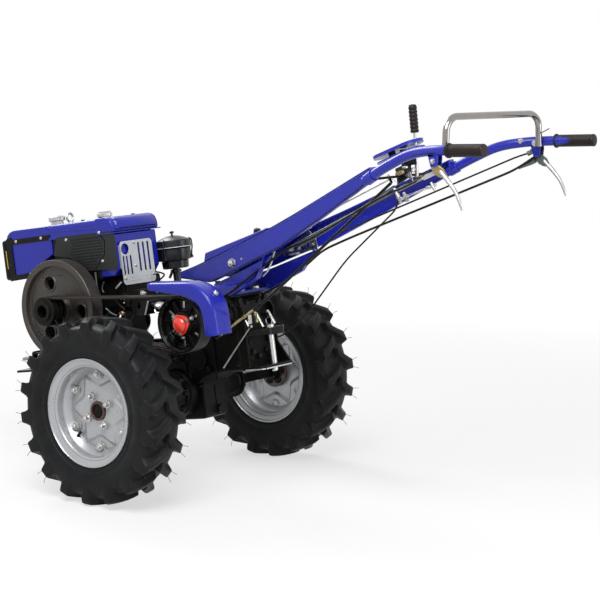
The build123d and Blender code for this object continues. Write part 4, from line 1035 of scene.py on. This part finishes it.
lipPath = bent([(-350, 70, 190), (-405, 35, 190), (rear, 22, 190), (rear, -48, 190), (-391, -71, 190),
                (-345, -71, 190)], 14, 6)
lipWide = np.interp(np.linspace(0, 1, len(lipPath)), [0, 0.3, 0.8, 1], [14, 24, 28, 20])
piece("jaw_lip", strip(lipPath, lipWide, 5, (0, 0, 1)), "blackPaint", bevel=2.2)
# A thin light steel strip along the lower jaw's outer edge.
jawEdgeRoute = bent([(-330, 85.4, 66), (-398, 85.4, 66), (-412.4, 72, 66), (-412.4, -72, 66),
                  (-398, -85.4, 66)], 8, 4)
piece("jaw_edge_strip", strip(jawEdgeRoute, 4, 1.2, (0, 0, 1)), "plateSteel")
backBolts = bolts([(back, y, z) for y, z in ((31, 123), (2, 107), (-39, 122), (50, 105))], (-1, 0, 0), 12)
sideStuds = bolts([(back, y, z) for y, z in ((60, 250), (62, 160), (-60, 250), (-62, 160))], (-1, 0, 0), 15,
                  stud=10)
piece("hitch_bolts", join(backBolts, sideStuds), "blackPaint", smooth=30)
pinSection = [(50, 0), (50, 8), (54, 11), (202, 11), (202, 16), (212, 16), (214, 14), (214, 0)]
ringT = np.linspace(0, 2 * pi, 33)
pinRing = np.stack([-390 + 14 * np.cos(ringT), 0 * ringT, 226 + 13 * np.sin(ringT)], -1)
pin = join(lathe(pinSection, (*hitch["pin"], 0), (0, 0, 1), 40), tube(pinRing, 2.4, 8, up=(0, 1, 0.02)))
piece("pin_shaped", pin, "zinc", smooth=35, replaces=["hitch_pin"])
slantEnds = [((-362, 30, 257), (-386, 30, 206)), ((-352, -50, 253), (-374, -50, 210)),
             ((-345, 72, 237), (-358, 72, 211))]
slantRods = join(*[tube(ends, 5, 12) for ends in slantEnds], block((-358, -354), (52, 70), (223, 255)),
                 block((-358, -326), (24, 36), (252, 262)), block((-350, -326), (-56, -44), (250, 260)))
piece("slant_rods", slantRods, "zinc", bevel=0.6, smooth=35)
print("hitch")

chassis = {"rear": -80.0, "front": 660.0, "railIn": 90.0, "railOut": 130.0, "railLow": 110.0,
           "railTop": 185.0, "wall": 6.0, "nose": 821.0, "noseHole": 12.5}
inner, outer, low, top, wall = [chassis[key] for key in ("railIn", "railOut", "railLow", "railTop", "wall")]
channel = [(inner, low), (outer, low), (outer, low + wall), (inner + wall, low + wall),
           (inner + wall, top - wall), (outer, top - wall), (outer, top), (inner, top)]
piece("rail_channels", bothSides(slab(channel, chassis["rear"], chassis["front"], "x")), "blackPaint",
      bevel=2.0, replaces=["chassis_rails"])
barPlaces = (((330, 350), (112, 130)), ((600, 620), (112, 130)), ((60, 88), (116, 180)))
crossBars = join(*[block(x, (-92, 92), z) for x, z in barPlaces])
piece("rail_crossbars", crossBars, "blackPaint", bevel=2.0)
engineFeet = join(*[block((x - 22, x + 22), sorted((side * 80, side * 124)), (185, 193))
                    for x in (315, 495) for side in (1, -1)])
piece("engine_feet", engineFeet, "castBlack", bevel=2.0)
footBolts = [(x, y, 193) for x in (290, 340, 470, 520) for y in (110, -110)]
wallBolts = [(x, 96, z) for x in (-50, 0, 60, 630) for z in (130, 165)]
railBolts = join(bolts(footBolts, (0, 0, 1), 12), bolts(wallBolts, (0, 1, 0), 12),
                 bolts([(x, -y, z) for x, y, z in wallBolts], (0, -1, 0), 12))
piece("rail_bolts", railBolts, "blackPaint", smooth=30)
nose = pierced([(668, -60), (836, -60), (853, -40), (853, 40), (836, 60), (668, 60)],
               [arc((chassis["nose"], 0), chassis["noseHole"], 0, 345, 24)], 107, 115, "z")
nosePlate = pierced(rounded((-130, 105), (130, 190), 10),
                    [arc((side * 100, z), 7, 0, 330, 12) for side in (1, -1) for z in (125, 172)], 660, 668,
                    "x")
noseRibs = bothSides(slab([(668, 115), (758, 115), (758, 128), (690, 150), (668, 150)], 52, 60))
piece("nose_hitch", join(nose, nosePlate, noseRibs), "blackPaint", bevel=1.8, replaces=["front_hitch"])
piece("nose_bolts", bolts([(668, side * y, 148) for side in (1, -1) for y in (86, 114)], (1, 0, 0), 13),
      "zinc", smooth=30)
loopPath = bent([(668.3, 55, 158), (806, 55, 158), (806, -55, 158), (668.3, -55, 158)], 22, 10)
piece("nose_loop", tube(loopPath, 6, 16, up=(0, 0, 1)), "chrome", smooth=50, replaces=["front_loop"])
softened("stand_bracket", "blackPaint", 1.5)

# The stand's foot bar lies on the ground, which leans under the level machine.
stand = {"pivot": (690.0, 82.0), "footX": 765.0, "footRadius": 11.0, "legs": 60.0, "leg": 9.0, "tyre": 320.0}
pivotX, pivotZ = stand["pivot"]
lean = radians(stance["lean"])
footX, legs = stand["footX"], stand["legs"]
footZ = (stand["footRadius"] - stand["tyre"] + footX * sin(lean)) / cos(lean)
standLegs = [tube([(pivotX, y, pivotZ), (footX, y, footZ)], stand["leg"], 18) for y in (legs, -legs)]
eyeSection = [(-9, 8.2), (-9, 14.5), (-7.5, 16), (7.5, 16), (9, 14.5), (9, 8.2)]
standEyes = [lathe(eyeSection, (pivotX, y, pivotZ), steps=32, closed=True) for y in (legs, -legs)]
foot = lathe([(-85, 0), (-85, 9), (-83, 11), (83, 11), (85, 9), (85, 0)], (footX, 0, footZ), steps=28)
rungZ = pivotZ + (footZ - pivotZ) * 38 / 75
rung = tube([(728, -58, rungZ), (728, 58, rungZ)], 6, 14, up=(1, 0, 0.1))
piece("stand_frame", join(*standLegs, *standEyes, foot, rung), "blackPaint",
      frame["nodes"]["front_stand"]["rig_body"], smooth=38, replaces=["front_stand"])
cradle = join(slab([(540, 200), (548, 200), (548, 493.5), (540, 496.8)], -90, 120),
              *[slab([(548, 400), (600, 400), (600, 478), (548, 478)], y, y + 6) for y in (-90, 114)])
piece("cradle_sheet", cradle, "blackPaint", bevel=1.6, replaces=["tank_cradle"])
hose = bent([(560, -60, 486), (560, -60, 452), (600, -60, 430), (600, -60, 400), (560, -60, 380)], 24, 8)
piece("water_hose", tube(hose[:18], 12, 18, up=(0.1, 1, 0)), "cableBlack", smooth=45)
print("chassis")

arms = {"start": (-77.0, 65.0), "fall": 0.17778, "lean": (0.175, 0.9846), "ends": (-1068.0, -66.0),
        "roof": 36.0}
armTop = [(-62, 426), (-153, 443), (-324, 482), (-559, 542), (-686, 578), (-1068, 696)]
armBottom = [(-1076, 648), (-815, 545), (-599, 466), (-456, 430), (-363, 405), (-227, 373), (-60, 398)]


def onArm(shape):
    # A shape drawn with y measured outwards from the left arm's outer face, set on that face.
    x, y, z = shape[0].T
    face = arms["start"][1] + (arms["start"][0] - x) * arms["fall"]
    alongX, alongY = arms["lean"]
    return np.stack([x + alongX * y, face + alongY * y, z], -1), shape[1]


def edgeAt(edge, x):
    # z on a polyline of (x, z) pairs.
    run = sorted(edge)
    return np.interp(x, [p[0] for p in run], [p[1] for p in run])


def armSlice(lowEdge, lowRise, highEdge, highRise, inner, outer):
    # Bar along the arm: two edges, each a polyline plus a rise, made thick from depth inner to outer.
    run = np.linspace(*arms["ends"], 60)
    outline = list(zip(run, edgeAt(lowEdge, run) + lowRise))
    outline += list(zip(run[::-1], edgeAt(highEdge, run[::-1]) + highRise))
    return slab(outline, inner, outer)


def armLine(edge, rise, proud):
    # Line on the arm's face, a distance above one of its edges.
    run = np.linspace(-1064, -70, 60)
    return np.stack([run, proud + 0 * run, edgeAt(edge, run) + rise], -1)


# Pressed sheet: an outer web with a roof turned in at the top, a short return at the bottom and a closed end.
roof = arms["roof"]
armShape = onArm(join(armSlice(armBottom, 7, armTop, 0, -4, 0), armSlice(armTop, -4, armTop, 0, -roof, 0),
                      armSlice(armBottom, 7, armBottom, 10, -13, 0),
                      block((-1068, -1064), (-roof, 0), (660, 692))))
piece("left_arm_sheet", armShape, "bluePaint", bevel=1.4, replaces=["left_arm"])
piece("right_arm_sheet", otherHand(armShape), "bluePaint", bevel=1.4, replaces=["right_arm"])
# The black strip along each arm's lower edge is a dark joint, darkened further as painted shade in its
# groove.
piece("arm_grooves", bothSides(onArm(strip(armLine(armBottom, 12, 0.8), 1.6, 1.8))), "blackPaint")
piece("arm_beads", bothSides(onArm(strip(armLine(armTop, -7, 0.4), 2.2, 2.2))), "bluePaint", smooth=50)
armBolts = join(onArm(bolts([(-356, 0, 441)], (0, 1, 0), 15, stud=4)),
                onArm(screws([(-405, 0, 451)], (0, 1, 0), 4)))
piece("arm_bolts", bothSides(armBolts), "zinc", smooth=30)
softened("handle_base", "bluePaint", 2.2)
baseRim = strip([(-540, -5, 495), (-505, -5, 427), (-468, -5, 382), (-330, -5, 331)], 12, 3)
piece("base_rims", bothSides(onArm(baseRim)), "bluePaint", bevel=0.8)
piece("base_bolts", bolts([(x, y, 338) for x in (-245, -310) for y in (-52, 52)], (0, 0, 1), 12), "zinc",
      smooth=30)
softened("arm_cover", "bluePaint", 4.0)
knobSection = [(0, 0), (0, 6), (10, 6), (12, 11.5), (26, 11.5), (30, 8), (30, 0)]
knob = lathe(knobSection, (-400, 20, 519), (-0.2, 0, 0.98), 24, lobes=6, swell=0.08)
piece("cover_knob", knob, "darkPlastic", smooth=35)
coverBolts = bolts([(-250, 0, 491), (-500, -90, 538), (-500, 90, 538)], (-0.18, 0, 0.98), 9)
piece("cover_bolts_top", coverBolts, "zinc", smooth=30)
softened("arm_brace", "blackPaint", 1.4)
print("arms")

handle = {"radius": 16.0, "ease": 34, "gripStart": (-1420.0, 317, 711), "gripEnd": (-1556.0, 331, 696),
          "gripRib": 6.2, "hoopRadius": 11.0}
tubeRoute = [(-1040, 232, 655), (-1115, 246, 683), (-1215, 256, 713), (-1262, 266, 719.5), (-1328, 285, 720),
             (-1390, 306, 715), (-1545, 330, 697)]
tubePath = bent(tubeRoute, handle["ease"], 8)
piece("handle_tubes_shaped", bothSides(tube(tubePath, handle["radius"], 28)), "bluePaint", smooth=50,
      replaces=["handle_tubes"])
collarAt, collarNext = resampled(tubePath, 201)[11:13]
socket = lathe([(-17, 15.8), (-17, 20), (17, 20), (17, 15.8)], collarAt, collarNext - collarAt, 32,
               closed=True)
piece("tube_sockets", bothSides(socket), "bluePaint", bevel=1.2, smooth=32)
piece("tube_bolts", bothSides(bolts([(-1318, 269.5, 724), (-1364, 277, 711)], (0, -1, 0), 9)), "zinc",
      smooth=30)


def gripShape():
    # Rubber grip: collar, then radius 18.9 + |sin(pi s / rib)| along its length s, and a rounded end.
    start, end = np.array(handle["gripStart"]), np.array(handle["gripEnd"])
    length = np.linalg.norm(end - start)
    s = np.linspace(12, length - 14, 90)
    ribs = list(zip(s, 18.9 + np.abs(np.sin(pi * (s - 12) / handle["gripRib"]))))
    section = [(0, 16.2), (0, 22.8), (3, 23), (6, 22.6), (9, 19), *ribs, (length - 12, 19.8),
               (length - 4, 20), (length - 1, 18), (length, 12), (length, 0)]
    return lathe(section, start, end - start, 48, lobes=24, swell=0.008)


piece("grips_shaped", bothSides(gripShape()), "gripPlastic", smooth=40, replaces=["hand_grips"])

# Hand levers, each with a body, bracket and pivot bolt under the tube.
bladeRoute = bent([(-1376, 305, 652), (-1402, 306, 618), (-1424, 308, 584), (-1434, 309, 552),
                   (-1438, 309, 529)], 18, 6)
bladeWide = np.interp(np.linspace(0, 1, len(bladeRoute)), [0, 0.3, 0.9, 1], [8, 6.6, 5.2, 3.5])
piece("lever_blades", bothSides(tube(bladeRoute, bladeWide, 18)), "zinc", smooth=50, replaces=["hand_levers"])
bodySide = [(-1344, 663), (-1348, 676), (-1358, 681), (-1372, 672), (-1386, 659), (-1394, 640), (-1388, 631),
            (-1372, 634), (-1356, 644)]
leverBody = join(slab(bodySide, 299, 308), disc(-11, 11, 8, (-1352, 301, 674), steps=20))
piece("left_lever_body", leverBody, "yellowZinc", bevel=1.8, smooth=32)
piece("right_lever_body", otherHand(leverBody), "greyZinc", bevel=1.8, smooth=32)
cheekSide = [(-1342, 706), (-1344, 685), (-1348, 668), (-1370, 670), (-1376, 690), (-1377, 706)]
leverBracket = join(slab(cheekSide, 287, 290), slab(cheekSide, 310, 313),
                    block((-1377, -1342), (287, 313), (700, 706)))
piece("lever_brackets", bothSides(leverBracket), "bluePaint", bevel=1.4)
piece("lever_bolts", bothSides(bolts([(-1357, 313, 686)], (0, 1, 0), 8, stud=2)), "zinc", smooth=30)
clampPlate = pierced([(-1350, 645), (-1350, 658), (-1313, 649), (-1299, 641), (-1307, 633)],
                     [arc((-1341, 650), 2.4, 0, 330, 10)], 294, 298)
piece("cable_clamp", clampPlate, "zinc", bevel=0.9)
sleeve = tube([(-1346, -298, 657), (-1330, -297, 652), (-1286, -288, 640)], [9, 8.4, 5.6], 18)
piece("adjuster_sleeve", sleeve, "greyZinc", smooth=45)
stopThread = ribbed([(-1344, -289, 686), (-1328, -286, 681)], 7.2, 1.0, 4, 20)
stopNut = disc(0, 5, 9.5, (-1346, -289, 687), (16, 3, -5), 6)
piece("cable_stop", join(stopThread, stopNut), "greyZinc", smooth=40)
piece("return_spring", coil([(-1341, -300, 693), (-1374, -300, 688)], 8.5, 1.5, 4.4), "blackPaint", smooth=50)
piece("brake_tip", tube([(-1386, -270, 738), (-1429, -270, 752)], 1.6, 8), "blackPaint", smooth=50)
hoopRoute = bent([(-1380, 275, 700), (-1395, 274, 786), (-1398, 236, 813), (-1393, -236, 806),
                  (-1390, -274, 782), (-1380, -275, 700)], 34, 10)
piece("arm_hoop", tube(hoopRoute, handle["hoopRadius"], 28, up=(1, 0.01, 0.02)), "chrome", smooth=50,
      replaces=["armrest_hoop"])
print("handles")

tray = {"at": (-1020, 0, 742), "tilt": (sin(0.23), 0, cos(0.23)), "sheet": 5.0}


def onTray(shape):
    # A shape drawn flat about the tray's middle, set on the tilted tray.
    return turned(shape, tray["at"], tray["tilt"])


trayEdge = rounded((-44.6, -93.6), (44.6, 93.6), 44.5, 14)
trayShape = pierced(rounded((-46, -95), (46, 95), 45.9, 14), [rounded((-8, 41), (8, 87), 7.9, 8)], 0,
                    tray["sheet"], "z")
trayRim = strip([(x, y, 6) for x, y in trayEdge + trayEdge[:1]], 9, 3, (0, 0, 1))
lowerTray = slab(rounded((-44, -88), (38, 92), 37, 12), -17, -13, "z")
piece("tray_plate", onTray(join(trayShape, trayRim, lowerTray)), "bluePaint", bevel=0.9,
      replaces=["gear_tray"])
gate = pierced(rounded((-24, 26), (26, 94), 8, 5), [rounded((-8.4, 40), (8.4, 88), 8, 8)], 9.5, 11.5, "z")
piece("tray_gate", onTray(gate), "plateSteel", bevel=0.5)
trayStays = join(block((-1050, -1036), (-18, 18), (662, 744)), block((-1090, -1040), (6.4, 12), (690, 714)),
                 onTray(block((-14, 14), (-34, -22), (-14, 0))))
piece("tray_stays", trayStays, "blackPaint", bevel=1.2)
trayBolts = bolts([(x, y, tray["sheet"]) for y in (-30, 22) for x in (-30, 30)], (0, 0, 1), 8)
piece("tray_bolts", onTray(trayBolts), "zinc", smooth=30)
gripFrom, gripTo = (-1091.4, 0, 792), (-1094.8, 0, 878)
leverTop = lathe([(0, 0), (0, 12.5), (3, 12), (5, 8), (6, 0)], gripTo, (-3.2, 0, 84), 28)
piece("gear_lever_rod", tube([(-1078, 0, 636), (-1092, 0, 802)], 5.5, 18), "zinc", smooth=50,
      replaces=["gear_lever"])
piece("gear_lever_grip", join(ribbed([gripFrom, gripTo], 12.2, 2.0, 12.3, 28), leverTop), "gripPlastic",
      smooth=50)


def clevis(at, way, width=12.0, long=24.0):
    # Forked end with its cross pin, opening towards `way`.
    half = width / 2
    fork = join(block((-half, 3 - half), (-5, 5), (0, long)), block((half - 3, half), (-5, 5), (0, long)),
                block((-half, half), (-5, 5), (-4, 2)))
    pin = disc(-1.5 * half, 1.5 * half, 3.4, (0, 0, long - 6), (1, 0, 0), 14)
    return turned(join(fork, pin, disc(-12, -4, 6, (0, 0, 0), (0, 0, 1), 6)), at, way)


def link(low, high, radius=3.0):
    # Round rod with a T-shaped eye and cross pin at both ends.
    start, end = np.array(low, float), np.array(high, float)
    way = (end - start) / np.linalg.norm(end - start)
    eyes = [disc(-9, 9, radius * 1.9, at) for at in (start, end)]
    pins = [disc(-14, 14, 2.2, at, steps=10) for at in (start, end)]
    return join(tube([start + way * 2, end - way * 2], radius, 12), *eyes, *pins)


shiftFrom, shiftTo = np.array((-1071, 0, 640)), np.array((-191, 0, 366))
piece("shift_bar", tube([shiftFrom, shiftTo], 5, 16), "greyZinc", smooth=50, replaces=["shift_rod"])
shiftWay = shiftTo - shiftFrom
shiftEnds = join(clevis(shiftFrom - (6, 0, -2), -shiftWay), clevis(shiftTo + (4, 0, -1), shiftWay))
piece("shift_ends", shiftEnds, "yellowZinc", bevel=0.6, smooth=35)

# Clutch rod: black along its length, with a threaded zinc end.
clutchPath = bent([(-1059, 120, 640), (-548, 205, 303), (-350, 218.7, 205)], 60, 12)
rodPoints, endWay = resampled(clutchPath, 100), (200, 14, -100)
blackPart = rodPoints[:78]
clutchCollar = lathe([(-14, 5), (-14, 8), (14, 8), (14, 5)], blackPart[-1], blackPart[-1] - blackPart[-2],
                     6, closed=True)
piece("clutch_bar", join(tube(blackPart, 5, 14), clutchCollar), "cableBlack", smooth=50,
      replaces=["clutch_rod"])
clutchNut = lathe([(0, 3), (0, 6.5), (6, 6.5), (6, 3)], rodPoints[84], endWay, 6, closed=True)
clutchThread = join(ribbed([rodPoints[78], clutchPath[-1]], 3.4, 0.6, 2.6, 12),
                    clevis((-350, 219, 206), endWay, 9, 20), clutchNut)
piece("clutch_thread", clutchThread, "yellowZinc", smooth=35)

# Each cable's route, from its lever to where it is held on the arm or the gearbox.
leftRoute = [(-1350, 288, 668), (-1290, 280, 640), (-1182, 218, 622), (-1066, 182, 603), (-726, 150, 490),
             (-630, 138, 474), (-480, 130, 410), (-330, 122, 335), (-210.8, 117, 306)]
rightRoute = [(-1350, -288, 668), (-1276, -280, 634), (-690, -132, 478), (-560, -128, 444), (-480, -130, 396),
              (-330, -122, 326), (-210.8, -117, 306)]
upperRoute = [(-1338, -288.7, 684), (-1290, -279, 676), (-703, -110, 509), (-612, -120.2, 487)]
brakeRoute = [(-1045, 60, 653.5), (-1010, 20, 563), (-678, -100, 403), (-476, -100, 224), (-380, -94, 165),
              (-300, -88.3, 150)]
cables = join(*[wire(route, radius, 60)
                for route, radius in ((leftRoute, 4), (rightRoute, 4), (upperRoute, 3), (brakeRoute, 3))])
piece("cables_shaped", cables, "cableBlack", smooth=60, replaces=["control_cables"])
cableEnds = join(*[ribbed([np.array(route[-1]) - 0.35 * np.subtract(route[-1], route[-2]), route[-1]], 4.8,
                          0.9, 4) for route in (leftRoute, rightRoute)])
piece("cable_ends", cableEnds, "zinc", smooth=50)

linkBars = join(tube([(-1303, 298, 638), (-1092, 130, 612)], 2.6, 10),
                link((-1071, 60, 593), (-1180, 60, 616)), link((-1066, 84, 587), (-1176, 84, 611)),
                tube([(-1040, 80, 622), (-1060, 80, 574)], 5.5, 16),
                disc(-8, 8, 7.4, (-1051, 80, 597), (-0.4, 0, -1), 20),
                tube([(-1179, 72, 626), (-1190, 72, 600)], 4.6, 14),
                clevis((-1065, 60, 594), (-7, 0, -20), 11, 20),
                tube([(-1028, 100, 671), (-1070, 100, 639)], 1.8, 8))
piece("link_bars", linkBars, "zinc", bevel=0.6, smooth=35)
piece("link_box", slab([(-1040, 671), (-1042, 659), (-1071, 666), (-1069, 677)], 54, 66), "yellowZinc",
      bevel=1.4)
linkPlate = join(pierced([(-1061, 660), (-1084, 669), (-1091, 637)], [arc((-1079, 657), 3, 0, 330, 10)],
                         38, 43),
                 lathe([(0, 0), (0, 10), (6, 9), (8, 5), (8, 0)], (-1065, 40, 684), (-0.2, 0.2, 1), 24),
                 lathe([(-2, 5), (-2, 8), (2, 8), (2, 5)], (-1084, 22, 674), (0, 1, 0.2), 24, closed=True))
piece("link_plate", linkPlate, "zinc", bevel=0.7, smooth=35)
piece("switch_box", slab([(-1021, 685), (-1062, 696), (-1076, 656), (-1029, 635)], 22, 36), "darkPlastic",
      bevel=2)
piece("link_stay", strip([(-1025, 84, 668), (-1037, 84, 640)], 9, 5), "blackPaint", bevel=1)
ribbedRod = join(ribbed([(-527, 60, 484), (-559, 60, 491), (-666, 60, 535)], 5.2, 1.0, 7, 16),
                 tube([(-664, 60, 534), (-764, 60, 579)], 3.6, 14),
                 disc(-5, 5, 8.5, (-664, 60, 534), (-98, 0, 45), 6),
                 tube([(-764, 60, 579), (-1040, 60, 662)], 3.6, 14))
piece("ribbed_rod", ribbedRod, "zinc", smooth=40)
shiftLink = join(ribbed([(-505, -80, 470), (-665, -66, 522)], 5.0, 1.0, 7, 16),
                 strip([(-663, -66, 521), (-915, 40, 588), (-1014, 40, 630)], [8, 16, 12], 5))
piece("shift_link", shiftLink, "greyZinc", bevel=0.8, smooth=40)
springPlate = pierced([(-504, 503), (-532, 521), (-552, 501), (-562, 484), (-563, 450), (-470, 447),
                       (-448, 446), (-413, 436), (-405, 455)],
                      [arc((-545, 470), 9, 0, 340, 20), rounded((-527, 463), (-515, 479), 5)], -104, -100)
springBoss = lathe([(-100, 0), (-100, 10), (-90, 10), (-89, 8), (-89, 0)], (-441, 0, 462), steps=24)
piece("spring_bracket", join(springPlate, springBoss), "zinc", bevel=0.8, smooth=35)
bracketPins = join(bolts([(-545, -112, 470)], (0, 1, 0), 9, stud=8), bolts([(-480, -100, 462)], (0, 1, 0), 7))
piece("bracket_pins", bracketPins, "zinc", smooth=30)
piece("bracket_foot", block((-470, -425), (-132, -104), (440, 452)), "plateSteel", bevel=1)
whiteRod = bent([(-556, 120, 473), (-547, 120, 459), (-529, 120, 424), (-507, 120, 398), (-487, 120, 386)],
                14, 6)
piece("white_rod", tube(whiteRod, 3, 12), "zinc", smooth=50)
thinRods = join(tube([(-378, 90, 215), (-235, 90, 80)], 3.0, 10), disc(-5, 5, 6, (-379, 90, 216)))
piece("thin_rods", thinRods, "zinc", smooth=40)
piece("hitch_clevis", clevis((-405, 85, 240), (0.15, 0, 1), 9, 22), "yellowZinc", bevel=0.6, smooth=35)
print("linkage")

# Floor, light and camera.
studio = {"floorRadius": 9.0, "floorColour": 0.82, "floorSides": 96, "floorDrop": 0.0005,
          "glowNear": 0.62, "glowFrom": 1.3, "glowTo": 4.0, "worldLight": 0.20, "aim": (0, 0, 0.5),
          "camera": (-4.400, 5.057, 1.603), "lookTurn": -52.2636, "lookDown": 8.1466,
          "lens": 113.48, "film": 36.0}
lamps = {"keyLight": {"at": (-1.6, 3.0, 4.6), "size": 3.4, "power": 320},
         "backLight": {"at": (3.6, -1.2, 3.6), "size": 2.2, "power": 110},
         "lowLight": {"at": (-4.0, -1.0, 1.4), "size": 2.0, "power": 40}}


def floorMaterial():
    # Diffuse floor mixed with an even white glow: glow share = seen directly * glow by distance, where the
    # glow rises from glowNear at glowFrom metres to 1 at glowTo, so the shadow stays and the edge is white.
    material = bpy.data.materials.new("paleFloor")
    material.use_nodes = True
    nodes, links = material.node_tree.nodes, material.node_tree.links
    nodes.clear()
    out = nodes.new("ShaderNodeOutputMaterial")
    diffuse = nodes.new("ShaderNodeBsdfDiffuse")
    diffuse.inputs["Color"].default_value = (studio["floorColour"],) * 3 + (1,)
    glow = nodes.new("ShaderNodeEmission")
    glow.inputs["Strength"].default_value = 1.0
    where = nodes.new("ShaderNodeTexCoord")
    far = nodes.new("ShaderNodeVectorMath")
    far.operation = "LENGTH"
    links.new(where.outputs["Object"], far.inputs[0])
    fade = nodes.new("ShaderNodeMapRange")
    fade.inputs["From Min"].default_value = studio["glowFrom"]
    fade.inputs["From Max"].default_value = studio["glowTo"]
    fade.inputs["To Min"].default_value = studio["glowNear"]
    fade.inputs["To Max"].default_value = 1.0
    links.new(far.outputs["Value"], fade.inputs["Value"])
    share = nodes.new("ShaderNodeMath")
    share.operation = "MULTIPLY"
    links.new(seenDirectly(nodes, links), share.inputs[0])
    links.new(fade.outputs["Result"], share.inputs[1])
    mix = nodes.new("ShaderNodeMixShader")
    links.new(share.outputs["Value"], mix.inputs["Fac"])
    links.new(diffuse.outputs["BSDF"], mix.inputs[1])
    links.new(glow.outputs["Emission"], mix.inputs[2])
    links.new(mix.outputs["Shader"], out.inputs["Surface"])
    return material


def seenDirectly(nodes, links):
    # Largest of three flags: 1 for camera, mirror and glass rays, 0 for the light that reaches surfaces.
    rays = nodes.new("ShaderNodeLightPath")
    value = rays.outputs["Is Camera Ray"]
    for kind in ("Is Glossy Ray", "Is Transmission Ray"):
        larger = nodes.new("ShaderNodeMath")
        larger.operation = "MAXIMUM"
        links.new(value, larger.inputs[0])
        links.new(rays.outputs[kind], larger.inputs[1])
        value = larger.outputs["Value"]
    return value


def areaLight(name, at, size, power):
    # Soft square lamp whose direction = the studio's aim - its place.
    lamp = bpy.data.lights.new(name, "AREA")
    lamp.shape, lamp.size, lamp.energy = "SQUARE", size, power
    thing = bpy.data.objects.new(name, lamp)
    thing.location = at
    thing.rotation_mode = "QUATERNION"
    thing.rotation_quaternion = (Vector(studio["aim"]) - Vector(at)).to_track_quat("-Z", "Y")
    bpy.context.scene.collection.objects.link(thing)


ring = np.linspace(0, 2 * pi, studio["floorSides"], endpoint=False)
edge = [(studio["floorRadius"] * cos(t), studio["floorRadius"] * sin(t), -studio["floorDrop"]) for t in ring]
floorMesh = bpy.data.meshes.new("floor")
floorMesh.from_pydata(edge, [], [list(range(len(edge)))])
floor = bpy.data.objects.new("floor", floorMesh)
floorMesh.materials.append(floorMaterial())
bpy.context.scene.collection.objects.link(floor)

world = bpy.data.worlds.new("studio")
bpy.context.scene.world = world
world.use_nodes = True
skyNodes, skyLinks = world.node_tree.nodes, world.node_tree.links
skyNodes.clear()
worldOut = skyNodes.new("ShaderNodeOutputWorld")
skyMix = skyNodes.new("ShaderNodeMixShader")
skyLinks.new(seenDirectly(skyNodes, skyLinks), skyMix.inputs["Fac"])
for slot, strength in ((1, studio["worldLight"]), (2, 1.0)):
    light = skyNodes.new("ShaderNodeBackground")
    light.inputs["Color"].default_value = (1, 1, 1, 1)
    light.inputs["Strength"].default_value = strength
    skyLinks.new(light.outputs["Background"], skyMix.inputs[slot])
skyLinks.new(skyMix.outputs["Shader"], worldOut.inputs["Surface"])

for name, lamp in lamps.items():
    areaLight(name, lamp["at"], lamp["size"], lamp["power"])

cameraData = bpy.data.cameras.new("mainCamera")
cameraData.lens, cameraData.sensor_width = studio["lens"], studio["film"]
cameraData.clip_start, cameraData.clip_end = 0.1, 100
camera = bpy.data.objects.new("mainCamera", cameraData)
camera.location = Vector(studio["camera"]) + Vector((stance["axle"][0], 0, 0))
turnBy, downBy = radians(studio["lookTurn"]), radians(studio["lookDown"])
view = Vector((cos(turnBy) * cos(downBy), sin(turnBy) * cos(downBy), -sin(downBy)))
camera.rotation_mode = "QUATERNION"
camera.rotation_quaternion = view.to_track_quat("-Z", "Y")
bpy.context.scene.collection.objects.link(camera)
bpy.context.scene.camera = camera
bpy.context.scene.view_settings.view_transform = "Standard"
print("studio")
